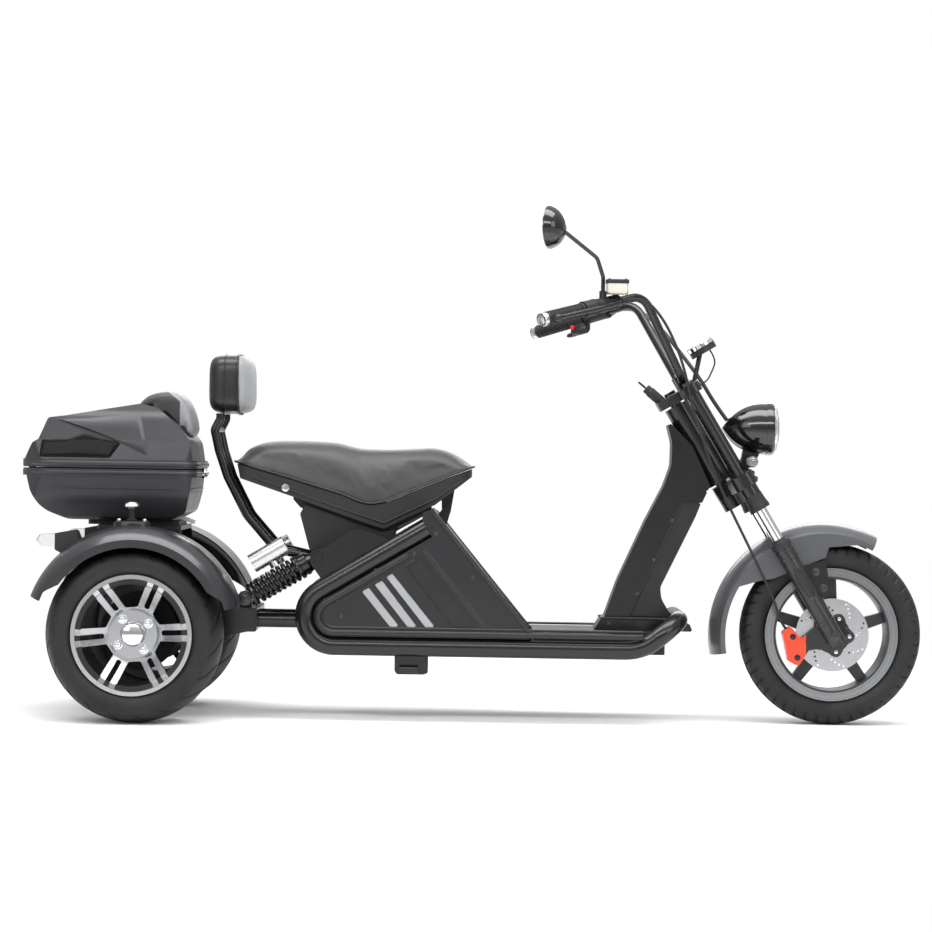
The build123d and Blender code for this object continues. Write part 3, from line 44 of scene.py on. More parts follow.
CAMERA_AT = (-0.026, -8.0, 0.6547)
CAMERA_LENS = 36 * 3149.6 / 932
CAMERA_ROLL = 0.95
FRAME_SHIFT = -6 / 932
view = bpy.data.cameras.new("camera")
view.lens = CAMERA_LENS
view.sensor_width = 36
view.shift_y = FRAME_SHIFT
camera = bpy.data.objects.new("camera", view)
camera.location = CAMERA_AT
level = Matrix.Rotation(pi / 2, 4, "X")
camera.rotation_euler = (level @ Matrix.Rotation(radians(CAMERA_ROLL), 4, "Z")).to_euler()
scene.collection.objects.link(camera)
scene.camera = camera


def linear(hex_colour):
    """sRGB hex to linear: c / 12.92 up to 0.04045, and ((c + 0.055) / 1.055) to the power 2.4 above it."""
    c = np.array([int(hex_colour[i:i + 2], 16) for i in (1, 3, 5)]) / 255
    return (*np.where(c <= 0.04045, c / 12.92, ((c + 0.055) / 1.055) ** 2.4).tolist(), 1.0)


def put(tree, kind, sockets=(), **settings):
    """Adds a shader node of that kind, gives it its settings, and sets or links its sockets, by name or in
    order. A node given for a socket stands for its first output."""
    node = tree.nodes.new("ShaderNode" + kind)
    for key, value in settings.items():
        setattr(node, key, value)
    for key, value in sockets.items() if isinstance(sockets, dict) else enumerate(sockets):
        if isinstance(value, bpy.types.Node):
            value = value.outputs[0]
        if isinstance(value, bpy.types.NodeSocket):
            tree.links.new(value, node.inputs[key])
        else:
            node.inputs[key].default_value = value
    return node


world = bpy.data.worlds.new("paper_room")
scene.world = world
world.use_nodes = True
sky = world.node_tree
sky.nodes.clear()
ray = put(sky, "LightPath")
seen = put(sky, "Math", (ray.outputs["Is Camera Ray"], ray.outputs["Is Transmission Ray"]),
           operation="MAXIMUM")
height = put(sky, "SeparateXYZ", {0: put(sky, "TexCoord").outputs["Generated"]})
lift = put(sky, "MapRange", (height.outputs["Z"], -0.1, 0.9, 0.30, 0.95))
soft = put(sky, "Background", {"Color": linear("#ffffff"), "Strength": lift})
white = put(sky, "Background", {"Color": linear("#ffffff"), "Strength": 1.0})
both_rays = put(sky, "MixShader", (seen, soft, white))
put(sky, "OutputWorld", {"Surface": both_rays})
LAMPS = [  # name, place, aim, width, height, watts
    ("overhead_lamp", (-0.1, -0.6, 3.6), (0.0, 0.0, 0.4), 4.6, 1.6, 150),
    ("near_left_lamp", (-3.4, -4.2, 2.6), (-0.2, 0.0, 0.5), 2.4, 2.4, 40),
    ("near_right_lamp", (3.6, -3.6, 2.2), (0.3, 0.0, 0.5), 1.8, 2.2, 32),
    ("strip_lamp", (0.0, -3.6, 2.5), (0.0, 0.0, 0.4), 4.4, 0.32, 55),
    ("far_lamp", (0.4, 4.2, 2.4), (0.0, 0.0, 0.6), 4.0, 1.6, 60),
]
for name, place, aim, wide, tall, watts in LAMPS:
    lamp = bpy.data.lights.new(name, "AREA")
    lamp.shape = "RECTANGLE"
    lamp.size, lamp.size_y, lamp.energy = wide, tall, watts
    holder = bpy.data.objects.new(name, lamp)
    holder.location = place
    holder.rotation_euler = (Vector(aim) - Vector(place)).to_track_quat("-Z", "Y").to_euler()
    scene.collection.objects.link(holder)


def skin(grid, around=True, along=False, caps=True):
    """Quads over a grid P[i, j] of points. around joins the last column to the first and along the last row
    to the first; caps closes the first and last row by a fan to the row's middle point."""
    n, m = grid.shape[:2]
    i = np.arange(n if along else n - 1)[:, None]
    j = np.arange(m if around else m - 1)[None, :]
    k, l = (i + 1) % n, (j + 1) % m
    faces = np.stack(np.broadcast_arrays(i * m + j, i * m + l, k * m + l, k * m + j), -1).reshape(-1, 4)
    points = grid.reshape(-1, 3)
    if caps and around and not along:
        row = np.arange(m)
        step = (row + 1) % m
        first = np.stack([np.full(m, n * m), step, row, row], -1)
        last = np.stack([np.full(m, n * m + 1), (n - 1) * m + row] + [(n - 1) * m + step] * 2, -1)
        points = np.concatenate([points, grid[[0, -1]].mean(axis=1)])
        faces = np.concatenate([faces, first, last])
    return points, faces


def piece(name, shapes, finish, body, stands_for=(), sharp=34):
    """One object from one or more (points, faces) shapes in millimetres: merged, turned outwards, given its
    finish, and set to ride on its body. A face whose last two corners are the same is a triangle."""
    shapes = shapes if isinstance(shapes, list) else [shapes]
    starts = np.cumsum([0] + [len(p) for p, f in shapes[:-1]])
    points = np.concatenate([p for p, f in shapes]) * 0.001
    faces = np.concatenate([f + s for (p, f), s in zip(shapes, starts)])
    three = faces[:, 2] == faces[:, 3]
    mesh = bpy.data.meshes.new(name)
    mesh.from_pydata(points.tolist(), [], faces[~three].tolist() + faces[three][:, :3].tolist())
    work = bmesh.new()
    work.from_mesh(mesh)
    bmesh.ops.remove_doubles(work, verts=work.verts, dist=2e-6)
    bmesh.ops.dissolve_degenerate(work, edges=work.edges, dist=1e-6)
    bmesh.ops.recalc_face_normals(work, faces=work.faces)
    work.to_mesh(mesh)
    work.free()
    mesh.shade_smooth()
    mesh.set_sharp_from_angle(angle=radians(sharp))
    mesh.materials.append(finish)
    made = bpy.data.objects.new(name, mesh)
    scene.collection.objects.link(made)
    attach(made, body)
    if stands_for:
        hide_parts(*stands_for)
    return made


def blank(name):
    """A new material with an empty node tree, and that tree."""
    made = bpy.data.materials.new(name)
    made.use_nodes = True
    made.node_tree.nodes.clear()
    return made, made.node_tree


FLOOR_R = 14000.0
ring = np.linspace(0, 2 * pi, 65)[:-1]
reach = np.array([0.02, 0.1, 0.25, 0.5, 1.0])[:, None] * FLOOR_R
floor_grid = np.stack([reach * np.cos(ring), reach * np.sin(ring), 0 * reach * ring - 0.3], -1)
paper, t = blank("white_paper")
at = put(t, "TexCoord").outputs["Object"]
away = put(t, "VectorMath", [at], operation="LENGTH")
fade = put(t, "MapRange", (away.outputs["Value"], 1.7, 3.6), interpolation_type="SMOOTHSTEP")
ray = put(t, "LightPath")
direct = put(t, "Math", (ray.outputs["Is Camera Ray"], ray.outputs["Is Glossy Ray"]), operation="MAXIMUM")
plain = put(t, "Math", (fade, direct), operation="MULTIPLY")
matt = put(t, "BsdfDiffuse", {"Color": linear("#fbfbfb"), "Roughness": 0.6})
glow = put(t, "Emission", {"Color": linear("#ffffff"), "Strength": 1.0})
blend = put(t, "MixShader", (plain, matt, glow))
put(t, "OutputMaterial", {"Surface": blend})
floor_points, floor_faces = skin(floor_grid)
sheet = bpy.data.meshes.new("paper_floor")
corner = floor_faces[:, 2] == floor_faces[:, 3]
floor_quads, floor_fan = floor_faces[~corner].tolist(), floor_faces[corner][:len(ring), :3].tolist()
sheet.from_pydata((floor_points * 0.001).tolist(), [], floor_quads + floor_fan)
sheet.materials.append(paper)
paper_floor = bpy.data.objects.new("paper_floor", sheet)
scene.collection.objects.link(paper_floor)


# Frame, arm and brackets: welded steel tube and plate, powder coated black. The coat is thin and smooth, with
# a slight orange peel and a soft gloss, so round tubes carry long even highlights.
def coated(name, colour, rough, metal=0.0, grain=2.5, depth=0.03, mottle=0.12, coat=0.0, swing=0.10):
    """A finish whose fine noise, grain millimetres wide, moves height and roughness, and whose slow noise
    moves the colour by mottle either way."""
    made, t = blank(name)
    at = put(t, "TexCoord").outputs["Object"]
    fine = put(t, "TexNoise", {"Vector": at, "Scale": 1000 / grain, "Detail": 3.0})
    slow = put(t, "TexNoise", {"Vector": at, "Scale": 14.0, "Detail": 4.0})
    base = np.array(linear(colour))
    tone = put(t, "MixRGB", {"Fac": slow, "Color1": (*(base[:3] * (1 - mottle)), 1),
                             "Color2": (*np.minimum(base[:3] * (1 + mottle), 1), 1)})
    gloss = put(t, "MapRange", {"Value": slow, "From Min": 0.3, "From Max": 0.7,
                                "To Min": rough * (1 - swing), "To Max": min(1.0, rough * (1 + swing))})
    rise = put(t, "Bump", {"Height": fine, "Strength": 1.0, "Distance": depth / 1000})
    skin_of = put(t, "BsdfPrincipled", {"Base Color": tone, "Roughness": gloss, "Metallic": metal,
                                        "Normal": rise, "Coat Weight": coat, "Coat Roughness": 0.12})
    put(t, "OutputMaterial", {"Surface": skin_of})
    return made


def dress(finish, *names):
    """Gives CAD nodes their finish."""
    for name in names:
        nodes[name].data.materials.clear()
        nodes[name].data.materials.append(finish)


powder_black = coated("black_powder_coat", "#131416", 0.23, grain=3.0, depth=0.02)
dress(powder_black, "frame_rails", "frame_gussets", "rear_carrier", "backrest_hoop", "stand_bracket",
      "rear_axle")

# Body panels: side panels, sloping front and floor tray, injection moulded in black plastic with a
# satin grain. A raised bead runs along the rail and a trim strip edges the front slope.
satin_plastic = coated("satin_black_plastic", "#18191b", 0.34, grain=1.6, depth=0.03)
rough_plastic = coated("grained_black_plastic", "#17181a", 0.55, grain=1.2, depth=0.06)
dress(satin_plastic, "side_panels", "front_cover", "column_cover")


def soften(width, *names):
    """Rounds the edges of CAD nodes by a bevel of that many millimetres, so that they catch the light."""
    for name in names:
        ease = nodes[name].modifiers.new("soft_edges", "BEVEL")
        ease.width, ease.segments, ease.limit_method, ease.angle_limit = width / 1000, 3, "ANGLE", radians(35)
        ease.harden_normals = False


soften(3.0, "side_panels", "front_cover")
soften(7.0, "steering_column", "column_cover")
soften(3.0, "floor_board", "seat_pan", "case_tub", "case_lid", "lower_yoke", "upper_yoke", "brake_caliper",
       "rear_carrier")
dress(rough_plastic, "floor_board", "under_seat_tray", "seat_pan", "battery_pack")


def arc_points(middle, r, start, end, count):
    """Points (x, z) on a circle round middle, from start to end degrees."""
    a = np.radians(np.linspace(start, end, count))
    return np.stack([middle[0] + r * np.cos(a), middle[1] + r * np.sin(a)], -1)


def at_y(line, y):
    """A line of (x, z) points set at one distance across."""
    return np.stack([line[:, 0], np.full(len(line), float(y)), line[:, 1]], -1)


def strip(path, profile, up=(0.0, 1.0, 0.0)):
    """A profile carried along a path: at each path point its first number runs along the side direction
    (path direction x up) and its second along up."""
    way = np.gradient(path, axis=0)
    way /= np.linalg.norm(way, axis=1)[:, None]
    side = np.cross(way, np.broadcast_to(up, way.shape))
    side /= np.linalg.norm(side, axis=1)[:, None]
    rise = np.cross(side, way)
    return path[:, None] + profile[None, :, :1] * side[:, None] + profile[None, :, 1:] * rise[:, None]


def circle(r, count=16, flat=1.0):
    """A round profile, its second axis drawn in by flat."""
    a = np.linspace(0, 2 * pi, count + 1)[:-1]
    return np.stack([r * np.cos(a), r * flat * np.sin(a)], -1)


RAIL_Z, RAIL_BEND, RAIL_BACK, SLOPE = 188.0, 73.0, -421.0, radians(31)
BEAD_IN, BEAD_R, PANEL_OUT = 33.5, 8.0, 187.0
RAIL_AHEAD, BEAD_RISE, FINE_IN = 420.0, 236.0, BEAD_IN + 13
bend_mid = (RAIL_BACK + RAIL_BEND, RAIL_Z + RAIL_BEND)


def rail_line(inset, tail):
    """A line beside the rail, inset from it: along the floor, round the bend and up to tail."""
    bend = arc_points(bend_mid, RAIL_BEND - inset, 270, 121, 24)
    floor = np.linspace((RAIL_AHEAD, RAIL_Z + inset), bend[0], 40)[:-1]
    return np.concatenate([floor, bend, np.linspace(bend[-1], tail, 20)[1:]])


bend_end = arc_points(bend_mid, RAIL_BEND - BEAD_IN, 121, 121, 1)[0]
bead_top = bend_end + np.array([cos(SLOPE), sin(SLOPE)]) * BEAD_RISE
fine_top = bead_top + [13 * sin(SLOPE) + 12, -13 * cos(SLOPE)]
BEADS = [  # line, distance across, profile
    (rail_line(BEAD_IN, bead_top), PANEL_OUT, circle(BEAD_R, 14, 0.75)),
    (rail_line(FINE_IN, fine_top), PANEL_OUT + 0.4, circle(3.2, 10)),
    (np.linspace((-103.0, 521.0), (144.0, 222.0), 24), PANEL_OUT - 1, circle(6.0, 12)),
    (np.linspace((-126.0, 430.0), (30.0, 240.0), 24), PANEL_OUT - 0.5, circle(5.5, 12, 0.5)),
]
beads = [skin(strip(at_y(line, s * y), profile)) for line, y, profile in BEADS for s in (-1, 1)]
piece("panel_beads", beads, satin_plastic, "chassis")
silver_plastic = coated("silver_painted_plastic", "#a8a9ab", 0.36, metal=0.5, grain=0.8, depth=0.02,
                        mottle=0.08)
dress(silver_plastic, "panel_slats")

# Rear wheels: cast alloy with turned faces on spokes and lip, and black paint left in the pockets and barrel.
# Four chromed nuts and a chromed centre cap hold each wheel on its hub.
FRONT_AXLE, REAR_AXLE, REAR_Y = (904.0, 229.0), (-829.0, 217.0), 292.5
RIM_OUT = REAR_Y + 95


def wheel_alloy(name, axle, bright, dark, faces_at, lip_from, spokes=None):
    """Turned alloy over black paint: bright where the face points outwards along the axle and lies beyond
    faces_at millimetres across, with turning marks as rings round the axle, and dark elsewhere. spokes gives
    the spoke count, the first one's angle, the half shares of a spoke and its slot, and the ring that is dark
    between them."""
    made, t = blank(name)
    coord = put(t, "TexCoord")
    middle = (-axle[0] / 1000, 0, -axle[1] / 1000)
    local = put(t, "Mapping", {"Vector": coord.outputs["Object"], "Location": middle})
    split = put(t, "SeparateXYZ", [local])
    far = put(t, "Math", [split.outputs["Y"]], operation="ABSOLUTE")
    slant = put(t, "SeparateXYZ", [coord.outputs["Normal"]])
    facing = put(t, "Math", [slant.outputs["Y"]], operation="ABSOLUTE")
    flat = put(t, "VectorMath", (local, (1, 0, 1)), operation="MULTIPLY")
    reach = put(t, "VectorMath", [flat], operation="LENGTH")
    lip = put(t, "Math", (reach.outputs["Value"], lip_from / 1000), operation="GREATER_THAN")
    out = put(t, "Math", (far, faces_at / 1000), operation="GREATER_THAN")
    square = put(t, "Math", (facing, 0.64), operation="GREATER_THAN")
    turned_face = put(t, "Math", (out, square), operation="MULTIPLY")
    mask = put(t, "Math", (turned_face, lip), operation="MULTIPLY")
    if spokes:
        count, first, share, slot_share, ring_in, ring_out = spokes
        turn = put(t, "Math", (split.outputs["Z"], split.outputs["X"]), operation="ARCTAN2")
        step = put(t, "Math", (turn, count / (2 * pi), 10.5 - first * count / 360), operation="MULTIPLY_ADD")
        off = put(t, "Math", {0: put(t, "Math", [step], operation="FRACT"), 1: 0.5}, operation="SUBTRACT")
        away = put(t, "Math", [off], operation="ABSOLUTE")
        outside = put(t, "Math", (away, share), operation="GREATER_THAN")
        in_slot = put(t, "Math", (away, slot_share), operation="LESS_THAN")
        pocket = put(t, "Math", (outside, in_slot), operation="MAXIMUM")
        beyond = put(t, "Math", (reach.outputs["Value"], ring_in / 1000), operation="GREATER_THAN")
        within = put(t, "Math", (reach.outputs["Value"], ring_out / 1000), operation="LESS_THAN")
        ring_zone = put(t, "Math", (beyond, within), operation="MULTIPLY")
        dark_zone = put(t, "Math", (pocket, ring_zone), operation="MULTIPLY")
        mask = put(t, "Math", (mask, dark_zone), operation="SUBTRACT", use_clamp=True)
    rings = put(t, "Math", (reach.outputs["Value"], 2 * pi / 0.0016), operation="MULTIPLY")
    wave = put(t, "Math", [rings], operation="SINE")
    cloud = put(t, "TexNoise", {"Vector": coord.outputs["Object"], "Scale": 45.0, "Detail": 3.0})
    tone = put(t, "MixRGB", {"Fac": mask, "Color1": linear(dark), "Color2": linear(bright)})
    rough = put(t, "MapRange", {"Value": mask, "To Min": 0.42, "To Max": 0.24})
    marks = put(t, "Math", (wave, mask), operation="MULTIPLY")
    uneven = put(t, "Math", (marks, cloud), operation="MULTIPLY")
    rise = put(t, "Bump", {"Height": uneven, "Strength": 0.5, "Distance": 0.00004})
    look = put(t, "BsdfPrincipled", {"Base Color": tone, "Roughness": rough, "Metallic": mask,
                                     "Normal": rise})
    put(t, "OutputMaterial", {"Surface": look})
    return made


SPOKES = (6, 4, 0.158, 0.048, 122, 136.4)
rear_alloy = wheel_alloy("turned_alloy_black_pockets", REAR_AXLE, "#b4b5b7", "#0d0e0f", 326, 0, SPOKES)
dress(rear_alloy, "rear_rim_left", "rear_rim_right")
dress(coated("cast_iron_hub", "#2a2b2d", 0.5, metal=0.6, grain=1.5, depth=0.05), "rear_hub_left",
      "rear_hub_right")
chrome = coated("chrome_plate", "#e6e7e9", 0.07, metal=1.0, grain=6.0, depth=0.004, mottle=0.02)


def lathe(profile, middle, axis, count=48, twist=0.0, hollow=False):
    """A (along, radius) profile turned round an axis through middle: middle + along * axis +
    radius * (cos a * u + sin a * v). A hollow one joins the profile's last point to its first."""
    axis = np.array(axis, float) / np.linalg.norm(axis)
    u = np.cross(axis, (0.0, 0.0, 1.0) if abs(axis[2]) < 0.9 else (1.0, 0.0, 0.0))
    u /= np.linalg.norm(u)
    v = np.cross(axis, u)
    a = np.linspace(0, 2 * pi, count + 1)[:-1] + twist
    spin = np.cos(a)[:, None] * u + np.sin(a)[:, None] * v
    profile = np.array(profile, float)
    grid = np.array(middle) + profile[:, None, :1] * axis + profile[:, None, 1:] * spin
    return skin(grid, along=hollow, caps=not hollow)


def rounded(r, h, ease, count=5):
    """The (along, radius) profile of a cap of radius r and height h, its upper edge eased."""
    a = np.linspace(0, pi / 2, count)
    top = np.stack([h - ease + ease * np.sin(a), r - ease + ease * np.cos(a)], -1)
    return np.concatenate([[(0.0, r)], top, [(h, 0.01)]])


NUT_RING, NUT_R = 45.0, 9.0
hub_face = RIM_OUT - 56
for side, body in ((1, "rear_wheel_left"), (-1, "rear_wheel_right")):
    bits = [lathe([(0, 31.5), (9, 31.5), (14, 30), (20, 25), (23.5, 16), (24.5, 6), (24.6, 0.01)],
                  (REAR_AXLE[0], side * hub_face, REAR_AXLE[1]), (0, side, 0))]
    for turn_at in (36, 126, 216, 306):
        a = radians(turn_at)
        seat = (REAR_AXLE[0] + NUT_RING * cos(a), side * (hub_face - 1), REAR_AXLE[1] + NUT_RING * sin(a))
        bits.append(lathe(rounded(NUT_R + 3, 4, 2), seat, (0, side, 0), 24))
        bits.append(lathe(rounded(NUT_R, 15, 5), seat, (0, side, 0), 6, a))
    piece("wheel_nuts_" + body[11:], bits, chrome, body, sharp=25)

# Tyres: moulded black rubber on wire beads. The rear ones are wide and round shouldered with a few long
# curved grooves; the front one has a block tread whose notches show along both shoulders.
def curve3(a, b, c, count):
    """Points on the circle through three (y, r) points, from the first to the last."""
    (ax, ay), (bx, by), (cx, cy) = a, b, c
    d = 2 * (ax * (by - cy) + bx * (cy - ay) + cx * (ay - by))
    aa, bb, cc = ax ** 2 + ay ** 2, bx ** 2 + by ** 2, cx ** 2 + cy ** 2
    ux = (aa * (by - cy) + bb * (cy - ay) + cc * (ay - by)) / d
    uy = (aa * (cx - bx) + bb * (ax - cx) + cc * (bx - ax)) / d
    r = np.hypot(ax - ux, ay - uy)
    start, mid, end = (np.arctan2(y - uy, x - ux) for x, y in (a, b, c))
    full = 2 * pi
    if (mid - start) % full > (end - start) % full:
        turn = -((start - end) % full)
    else:
        turn = (end - start) % full
    t = start + np.linspace(0, 1, count) * turn
    return np.stack([ux + r * np.cos(t), uy + r * np.sin(t)], -1)


def tyre_shape(axle, y_mid, r, w, seat_r, rim_w, flange_r, tread, rows, around):
    """The tyre's cross-section turned round the axle, sunk by tread(turn, y / half width) millimetres where
    the pattern is cut: beads, round side walls with two raised rings, and a crowned running face."""
    h = w / 2
    s = rim_w / 2 - 5.3
    wide_r, edge_y, edge_r, lip = seat_r + 0.55 * (r - seat_r), 0.84 * h, r - 0.16 * h, flange_r + 1.0
    wall = curve3((s, lip), (h, wide_r), (edge_y, edge_r), rows // 3)
    crown = curve3((edge_y, edge_r), (0, r), (-edge_y, edge_r), rows)
    line = np.concatenate([[(s, seat_r)], wall[:-1], crown, wall[::-1][1:] * [-1, 1], [(-s, seat_r)]])
    level = (line[:, 1] - seat_r) / (r - seat_r)
    rim_ring = np.exp(-((level - 0.30) / 0.018) ** 2) * 1.2 + np.exp(-((level - 0.36) / 0.012) ** 2) * 0.8
    a = np.linspace(0, 2 * pi, around + 1)[:-1]
    cut = tread(a[None, :], (line[:, 0] / h)[:, None]) * np.clip((level[:, None] - 0.62) * 8, 0, 1)
    reach = line[:, 1][:, None] - cut
    side = np.sign(line[:, 0])[:, None]
    across = line[:, :1] + side * rim_ring[:, None] - side * cut * 0.35
    grid = np.stack([axle[0] + reach * np.cos(a), y_mid + across, axle[1] + reach * np.sin(a)], -1)
    inner = np.stack([axle[0] + (seat_r + 0 * a) * np.cos(a), y_mid + 0 * a, axle[1] + seat_r * np.sin(a)],
                     -1)
    return skin(np.concatenate([grid, inner[None]]), around=True, along=True, caps=False)


def saw(x):
    """Distance of x from the nearest whole number."""
    return np.abs(x - np.round(x))


def rear_tread(turn, y):
    """Long curved grooves, 20 to a side, that sweep back from the middle to each shoulder."""
    phase = turn / (2 * pi) * 20 + 0.9 * np.abs(y) ** 1.6 + 0.25 * (y > 0)
    ends = np.clip((np.abs(y) - 0.12) * 12, 0, 1) * np.clip((0.99 - np.abs(y)) * 12, 0, 1)
    return 4.0 * np.clip(1.5 - saw(phase) * 34, 0, 1) * ends


def front_tread(turn, y):
    """Shoulder notches, 46 round the wheel, staggered side to side, with two rings of groove between them."""
    phase = turn / (2 * pi) * 46 + 0.5 * (y > 0) + 0.8 * np.abs(y)
    notch = np.clip(1.6 - saw(phase) * 13, 0, 1) * np.clip((np.abs(y) - 0.40) * 14, 0, 1)
    ring_cut = np.clip(1.5 - np.abs(np.abs(y) - 0.36) * 32, 0, 1)
    middle = np.clip(1.4 - saw(turn / (2 * pi) * 46 + 1.4 * y) * 13, 0, 1) * (np.abs(y) < 0.22)
    return 4.5 * np.maximum(np.maximum(notch, ring_cut), 0.7 * middle)


tyre_rubber = coated("tyre_rubber", "#0c0c0d", 0.62, grain=1.4, depth=0.05, mottle=0.18, swing=0.15)
REAR_TYRE = (217.0, 212.0, 130.0, 190.0, 147.0)  # radius, width, bead radius, rim width, flange radius
FRONT_TYRE = (229.0, 112.0, 154.0, 94.0, 168.0)
for side, word in ((1, "left"), (-1, "right")):
    shape = tyre_shape(REAR_AXLE, side * REAR_Y, *REAR_TYRE, rear_tread, 66, 360)
    piece("rear_tyre_treaded_" + word, shape, tyre_rubber, "rear_wheel_" + word,
          ["rear_tyre_" + word])
shape = tyre_shape(FRONT_AXLE, 0.0, *FRONT_TYRE, front_tread, 44, 460)
piece("front_tyre_treaded", shape, tyre_rubber, "front_wheel", ["front_tyre"])

# Rear shock absorbers: a black coil spring round a black damper tube between two rubber-bushed eyes, with a
# turned aluminium gas bottle strapped above each one.
SHOCK_Y, SHOCK_TOP, SHOCK_FOOT = 130.0, np.array([-391.0, 0.0, 408.0]), np.array([-572.0, 0.0, 300.0])
COIL_R, WIRE_R, TURNS = 27.0, 4.6, 8.5
spring_steel = coated("black_spring_steel", "#0e0f10", 0.22, grain=4.0, depth=0.01)
for side, word in ((1, "left"), (-1, "right")):
    foot, head = SHOCK_FOOT + (0, side * SHOCK_Y, 0), SHOCK_TOP + (0, side * SHOCK_Y, 0)
    way = (head - foot) / np.linalg.norm(head - foot)
    span = np.linalg.norm(head - foot)
    wide = np.array([0.0, 1.0, 0.0])
    deep = np.cross(way, wide)
    turn = np.linspace(0, 1, 340)
    a = turn * 2 * pi * TURNS
    along = 30 + (span - 88) * turn
    helix = foot + along[:, None] * way + COIL_R * (np.cos(a)[:, None] * wide + np.sin(a)[:, None] * deep)
    bits = [skin(strip(helix, circle(WIRE_R, 10), way))]
    bits.append(lathe([(16, 8), (18, 30), (25, 31), (29, 28), (30, 20), (span - 72, 20), (span - 70, 15),
                       (span - 58, 15)], foot, way))
    bits.append(lathe([(-62, 14), (-58, 31), (-50, 31), (-48, 27), (-30, 26), (-26, 22), (-14, 16)], head,
                      way))
    bits.append(lathe([(-16, 10.6), (-16, 19), (16, 19), (16, 10.6)], foot, (0, 1, 0), 32, hollow=True))
    bits.append(lathe([(-15, 12.6), (-15, 21), (15, 21), (15, 12.6)], head, (0, 1, 0), 32, hollow=True))
    piece("shock_" + word, bits, spring_steel, "chassis", ["shock_absorbers"])
turned_alloy = coated("turned_aluminium", "#c9cacc", 0.30, metal=1.0, grain=0.9, depth=0.02, mottle=0.05)
dress(turned_alloy, "shock_bottles")

# Rear fenders: pressed steel with a rolled edge, sprayed in a dark satin grey. Each carries a tail lamp in a
# black housing with a clear lens, and a chromed knob over a black ring plate.
grey_paint = coated("dark_grey_satin_paint", "#2d2e30", 0.30, metal=0.35, grain=0.7, depth=0.012,
                    mottle=0.06, coat=0.3)
dress(grey_paint, "rear_fenders")
dress(rough_plastic, "tail_lamps")
FENDER_R, FENDER_OUT, SKIRT = 266.0, 411.0, 53.0
KNOB = (-837.0, 330.0, 483.0)
edge_turn = np.radians(np.linspace(31, 145, 60))
edge_line = np.stack([REAR_AXLE[0] + (FENDER_R - SKIRT + 2) * np.cos(edge_turn),
                      np.full(60, FENDER_OUT - 3.0),
                      REAR_AXLE[1] + (FENDER_R - SKIRT + 2) * np.sin(edge_turn)], -1)
rolls = [skin(strip(edge_line * [1, s, 1], circle(2.6, 10), (0, 1, 0))) for s in (-1, 1)]
piece("fender_rolled_edges", rolls, grey_paint, "chassis")
oval_turn = np.linspace(0, 2 * pi, 49)[:-1]
oval = np.stack([44 * np.cos(oval_turn), 27 * np.sin(oval_turn), 0 * oval_turn], -1)
knobs, plates = [], []
for s in (-1, 1):
    mid = np.array(KNOB) * [1, s, 1]
    plates.append(lathe([(8, 13), (14, 13), (17, 8), (40, 7)], mid, (0, 0, 1), 40))
    knobs.append(lathe([(39, 6), (41, 8), (43, 9), (44, 15), (47, 17), (52, 17), (55, 14), (57, 8),
                        (57.5, 0.01)], mid, (0, 0, 1), 40))
    knobs += [lathe(rounded(5.5, 6, 2), mid + (x, 0, 9), (0, 0, 1), 20) for x in (-31, 31)]
    rows = [(-12, 1.0), (6, 1.0), (9, 0.95), (10, 0.86), (10, 0.62), (8.5, 0.58), (8.5, 0.1)]
    plates.append(skin(np.stack([mid + oval * [k, k, 0] + [0, 0, h] for h, k in rows])))
piece("fender_knobs", knobs, chrome, "chassis", ["fender_caps"])
piece("knob_plates", plates, powder_black, "chassis")

# Top case: a moulded tub and lid in black plastic with a fine grain and a double rim. Two raised panels fold
# the lid's sides, the rear ones in smoked plastic, and a key lock closes it at the front.
case_plastic = coated("fine_grain_black_plastic", "#26272a", 0.40, grain=1.1, depth=0.03)
dress(case_plastic, "case_tub", "case_lid")
dress(rough_plastic, "case_fittings")
smoked = coated("smoked_gloss_plastic", "#0b0b0d", 0.30, grain=5.0, depth=0.005)
smoked.node_tree.nodes["Principled BSDF"].inputs["Specular IOR Level"].default_value = 0.14


def slab(front, back):
    """A closed plate between two grids of points of the same size: both faces and the wall between."""
    n, m = front.shape[:2]
    index = np.arange(n * m).reshape(n, m)
    quads = np.stack([index[:-1, :-1], index[:-1, 1:], index[1:, 1:], index[1:, :-1]], -1).reshape(-1, 4)
    rim = np.concatenate([index[0, :-1], index[:-1, -1], index[-1, :0:-1], index[:0:-1, 0]])
    on = np.roll(rim, -1)
    wall = np.stack([rim, on, on + n * m, rim + n * m], -1)
    faces = np.concatenate([quads, quads[:, ::-1] + n * m, wall])
    return np.concatenate([front.reshape(-1, 3), back.reshape(-1, 3)]), faces


def lid_side(x, z, out):
    """The lid's side surface: the narrower of its end view's half width at z and its plan's at x, plus out."""
    end = np.interp(z, (640, 690, 725, 760, 790), (202, 191, 175, 154, 92))
    plan = 118 + np.sqrt(np.maximum(90 ** 2 - np.clip(-1043 - x, 0, 90) ** 2, 0))
    return np.minimum(end, plan) + out


def lid_panel(left, right, top, out):
    """A panel on the lid's side between two slanting ends, its upper edge following top, raised by out."""
    s, t = np.meshgrid(np.linspace(0, 1, 40), np.linspace(0, 1, 14))
    ends = [np.array(e, float) for e in (left, right)]
    x0 = ends[0][0, 0] + (ends[0][1, 0] - ends[0][0, 0]) * t
    x1 = ends[1][0, 0] + (ends[1][1, 0] - ends[1][0, 0]) * t
    x = x0 + (x1 - x0) * s
    low = ends[0][0, 1] + (ends[1][0, 1] - ends[0][0, 1]) * s
    high = np.interp(x[-1], *np.array(top, float).T)[None, :]
    z = low + (high - low) * t
    ease = np.minimum(1, np.minimum(np.minimum(s, 1 - s) * 20, np.minimum(t, 1 - t) * 7 + 0.15))
    return x, z, out * ease - 0.8


